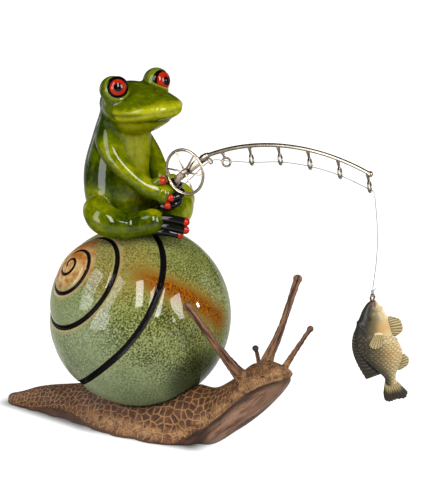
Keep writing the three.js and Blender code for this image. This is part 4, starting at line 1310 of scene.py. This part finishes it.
def fishSpot(across, out, down):
    lean = Matrix.Rotation(-fish["lean"], 3, "Y")
    turn = Matrix.Rotation(fish["turn"], 3, "Z")
    return turn @ (lean @ Vector((across, out, -down))) + fish["eyelet"]


def fishOwn(spot):
    lean = Matrix.Rotation(fish["lean"], 3, "Y")
    turn = Matrix.Rotation(-fish["turn"], 3, "Z")
    own = lean @ (turn @ (spot - fish["eyelet"]))
    return Vector((own.x, own.y, -own.z))


def fishFinish():
    paint = Paint("fishPaint")
    back, warm, scaled, dark, mouth, fin, ray = [paint.mark(name) for name in fishMarks]
    uv = paint.add("ShaderNodeUVMap", {"uv_map": "scales"}, {})
    scales = paint.cells("F1", uv, 0.35, "3D")
    edge = paint.cells("DISTANCE_TO_EDGE", uv, 0.35, "3D")
    plain = 1 - paint.step(fin, 0.2, 0.7)
    scaled = plain * paint.step(scaled, 0.2, 0.8)
    rays = paint.math("SINE", ray * (2 * math.pi))
    cloud = paint.noise(120, 4, 0.6)
    fine = paint.noise(900, 3, 0.65)
    finTone = paint.layers(
        (118, 100, 62),
        (paint.step(rays, -0.9, -0.1), (184, 164, 114)),
        (paint.step(back, 0.1, 0.7), paint.mix(rays, (40, 34, 21), (58, 49, 31))))
    tone = paint.layers(
        (212, 190, 138),
        (paint.step(back + (cloud - 0.5) * 0.3, 0.1, 0.6), (112, 100, 64)),
        (paint.step(back + (cloud - 0.5) * 0.2, 0.45, 0.88), (28, 25, 15)),
        (scaled * paint.step(edge, 0.16, 0.03) * 0.45, (74, 62, 36)),
        (scaled * paint.step(scales, 0.42, 0.15) * 0.15, (206, 186, 138)),
        (warm * (0.5 + cloud * 0.5), (212, 142, 54)),
        (paint.step(fin, 0.3, 0.8), finTone),
        (dark, (30, 27, 18)),
        (mouth, (78, 45, 26)))
    height = scaled * paint.step(edge, 0.0, 0.3) * 0.7 + paint.step(fin, 0.3, 0.8) * rays * 0.25 + fine * 0.12
    return paint.set({"Base Color": tone, "Roughness": 0.36 + fine * 0.15, "Coat Weight": 0.07,
                      "Coat Roughness": 0.15, "Specular IOR Level": 0.12,
                      "Normal": paint.bump(height, 0.0005, 0.8)})


# each fin: a root line, a tip line, how many rays it has, and how far out it stands on the near and far side
fins = {
    "dorsal": {"root": [[-4.83, 11.96], [-6.18, 17.23], [-5.79, 22.97], [-3.86, 28.71], [0, 34.07],
                        [4.44, 37.9]],
               "tip": [[-6.18, 12.06], [-8.69, 17.61], [-9.36, 23.54], [-8.4, 28.71], [-5.98, 34.45],
                       [-2.51, 40.58]],
               "rays": 17, "out": 0.0, "thick": 0.9, "back": 0.9, "shade": (-1, 0)},
    "tail": {"root": [[6.37, 40.58], [7.14, 41.34], [8.3, 41.92], [9.46, 41.92], [10.62, 41.53],
                      [11.39, 40.77]],
             "tip": [[5.6, 47.37], [6.37, 50.91], [8.69, 51.87], [11.97, 50.72], [16.02, 49.96],
                     [17.18, 46.89]],
             "rays": 11, "out": 0.0, "thick": 0.7, "back": 0.75, "shade": (0.1, 0.8)},
    "anal": {"root": [[13.7, 28.23], [12.93, 31.58], [11.77, 34.07], [10.42, 35.98]],
             "tip": [[15.05, 27.75], [17.27, 30.05], [16.89, 33.49], [13.51, 35.98]],
             "rays": 7, "out": 0.0, "thick": 0.65, "back": 0.12, "shade": (0, 1)},
    "pelvic": {"root": [[5.02, 10.91], [5.98, 13.21], [6.95, 15.69], [7.53, 17.99]],
               "tip": [[8.3, 9.76], [12.93, 11.48], [14.09, 15.69], [11, 18.76]],
               "rays": 8, "out": -1.2, "farOut": 1.4, "thick": 0.7, "back": 0.1, "shade": (0, 1)},
    "pectoral": {"root": [[0.96, 15.69], [2.32, 15.31], [3.67, 15.31], [4.83, 15.69]],
                 "tip": [[-1.74, 21.05], [-0.39, 22.59], [2.12, 22.78], [4.63, 21.44]],
                 "rays": 6, "out": -5.5, "farOut": 5.5, "thick": 0.55, "back": 0.0, "shade": (0, 1)},
}


def makeFin(bm, fin, standsOut):
    roots = eased(fin["root"], 12)
    tips = eased(fin["tip"], 12)
    sides = 24
    rings = []
    shares = []
    for k, (root, tip) in enumerate(zip(roots, tips)):
        t = k / (len(roots) - 1)
        ripple = math.sin(2 * math.pi * fin["rays"] * t)
        ring = []
        for n in range(sides):
            a = 2 * math.pi * n / sides
            go = 0.5 - 0.5 * math.cos(a)
            go = go * (1 + 0.02 * ripple) if go > 0.5 else go
            flat = fin["thick"] * math.sin(a) * (1.15 - go * 0.75) * min(1, 6 * t + 0.15, 6 * (1 - t) + 0.15)
            flat *= 1 + 0.14 * ripple
            across, down = [r + (e - r) * go for r, e in zip(root, tip)]
            ring.append(fishSpot(across, standsOut * (1 + 0.25 * go) + flat, down))
            shares.append((t * fin["rays"], go))
        rings.append(ring)
    layers = bm.verts.layers.float
    for vert, (ray, go) in zip(stack(bm, rings), shares):
        vert[layers["ray"]] = ray
        vert[layers["fin"]] = easy(go, 0.05, 0.2)
        vert[layers["back"]] = fin["back"] * easy(go, *fin["shade"])


def makeFishBody():
    bm = bmesh.new()
    rings = []
    sides = 72
    for across, down, deep, thick in eased(fish["rows"], 8):
        ring = []
        for k in range(sides):
            a = 2 * math.pi * k / sides
            out = math.copysign(thick * abs(math.sin(a)) ** 0.9, math.sin(a))
            ring.append(fishSpot(across + deep * math.cos(a), out, down))
        rings.append(ring)
    stack(bm, rings)

    def moulding(spot):
        own = fishOwn(spot)
        plate = own.z - table(-own.x + 6, fish["gill"])
        cover = 0.3 * easy(plate, 0.2, -1.2) * easy(plate, -9, -3) * easy(own.z, 5, 9)
        return cover - 0.35 * bell(plate - 0.4, 0.5) - 0.5 * bell(own.z - 5.2, 0.5) * easy(own.x, -1, 2)

    eyeX, eyeY, eyeZ = fish["eye"]
    eyePair = [Vector((eyeX, side * eyeY, eyeZ)) for side in (-1, 1)]
    middles = [(down, across) for across, down, deep, thick in fish["rows"]]
    halves = [(down, deep) for across, down, deep, thick in fish["rows"]]

    def bodyMarks(spot):
        own = fishOwn(spot)

        def away(place):
            return math.hypot(own.x - fish[place][0], own.z - fish[place][1])

        lift = (table(own.z, middles) - own.x) / table(own.z, halves)
        return (0.5 + 0.5 * min(max(lift, -1), 1) + 0.07 * easy(own.z, 18, 9),
                0.8 * bell(away("cheek"), 2.6) + 0.25 * bell(away("belly"), 6),
                easy(own.z, 15, 20) * easy(own.z, 47, 43),
                0.85 * easy(min((own - eye).length for eye in eyePair), 1.7, 1.1),
                easy(away("mouth"), 1.8, 1.0))

    def scalePlace(spot):
        own = fishOwn(spot)
        return (own.x + own.z) / fish["scale"], (own.x - own.z) / fish["scale"]

    dent(bm, moulding)
    mark(bm, fishMarks, bodyMarks)
    for fin in fins.values():
        makeFin(bm, fin, fin["out"])
    for name in ("pectoral", "pelvic"):
        makeFin(bm, fins[name], fins[name]["farOut"])
    lay(bm, "scales", scalePlace)
    finished(bm, "fishBody", fishFinish(), "fish", ["fish_body"])


def makeEyelet():
    bm = bmesh.new()
    wire = fish["eyeletWire"]
    middle = fishSpot(0, 0, 0)
    out = Matrix.Rotation(line["loopTurn"], 3, "Z") @ (fishSpot(0, 1, 0) - middle)
    hoop(bm, fish["eyelet"], out, fish["eyeletRing"], wire, 36)
    top, foot = fish["shank"]
    bar(bm, fishSpot(0, 0, top), fishSpot(0, 0, foot), wire, wire, 16, 0.1)
    hoop(bm, fishSpot(0, 0, fish["collar"]), fishSpot(0, 0, 1) - middle, 0.5, 0.3, 24, 10)
    paint = Paint("eyeletBrass")
    smear = paint.noise(500, 3, 0.6)
    tone = paint.mix(smear, (34, 27, 18, 1), (86, 72, 50, 1))
    brass = paint.set({"Base Color": tone, "Metallic": 1.0, "Roughness": 0.25 + smear * 0.2})
    finished(bm, "fishEyelet", brass, "fish", ["fish_eyelet"])


makeFishBody()
makeEyelet()
print("fish made")

# inner dowels stay as the solids are, in plain steel
dowels = {"nodes": ["shell_dowel", "frog_dowel"]}


def makeDowels():
    paint = Paint("dowelSteel")
    grain = paint.noise(700, 3, 0.6)
    tone = paint.mix(grain, (140, 141, 143, 1), (178, 179, 182, 1))
    steel = paint.set({"Base Color": tone, "Metallic": 1.0, "Roughness": 0.35 + grain * 0.15})
    for name in dowels["nodes"]:
        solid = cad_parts[name]
        solid.data.materials.clear()
        solid.data.materials.append(steel)
    print("dowels finished")


makeDowels()
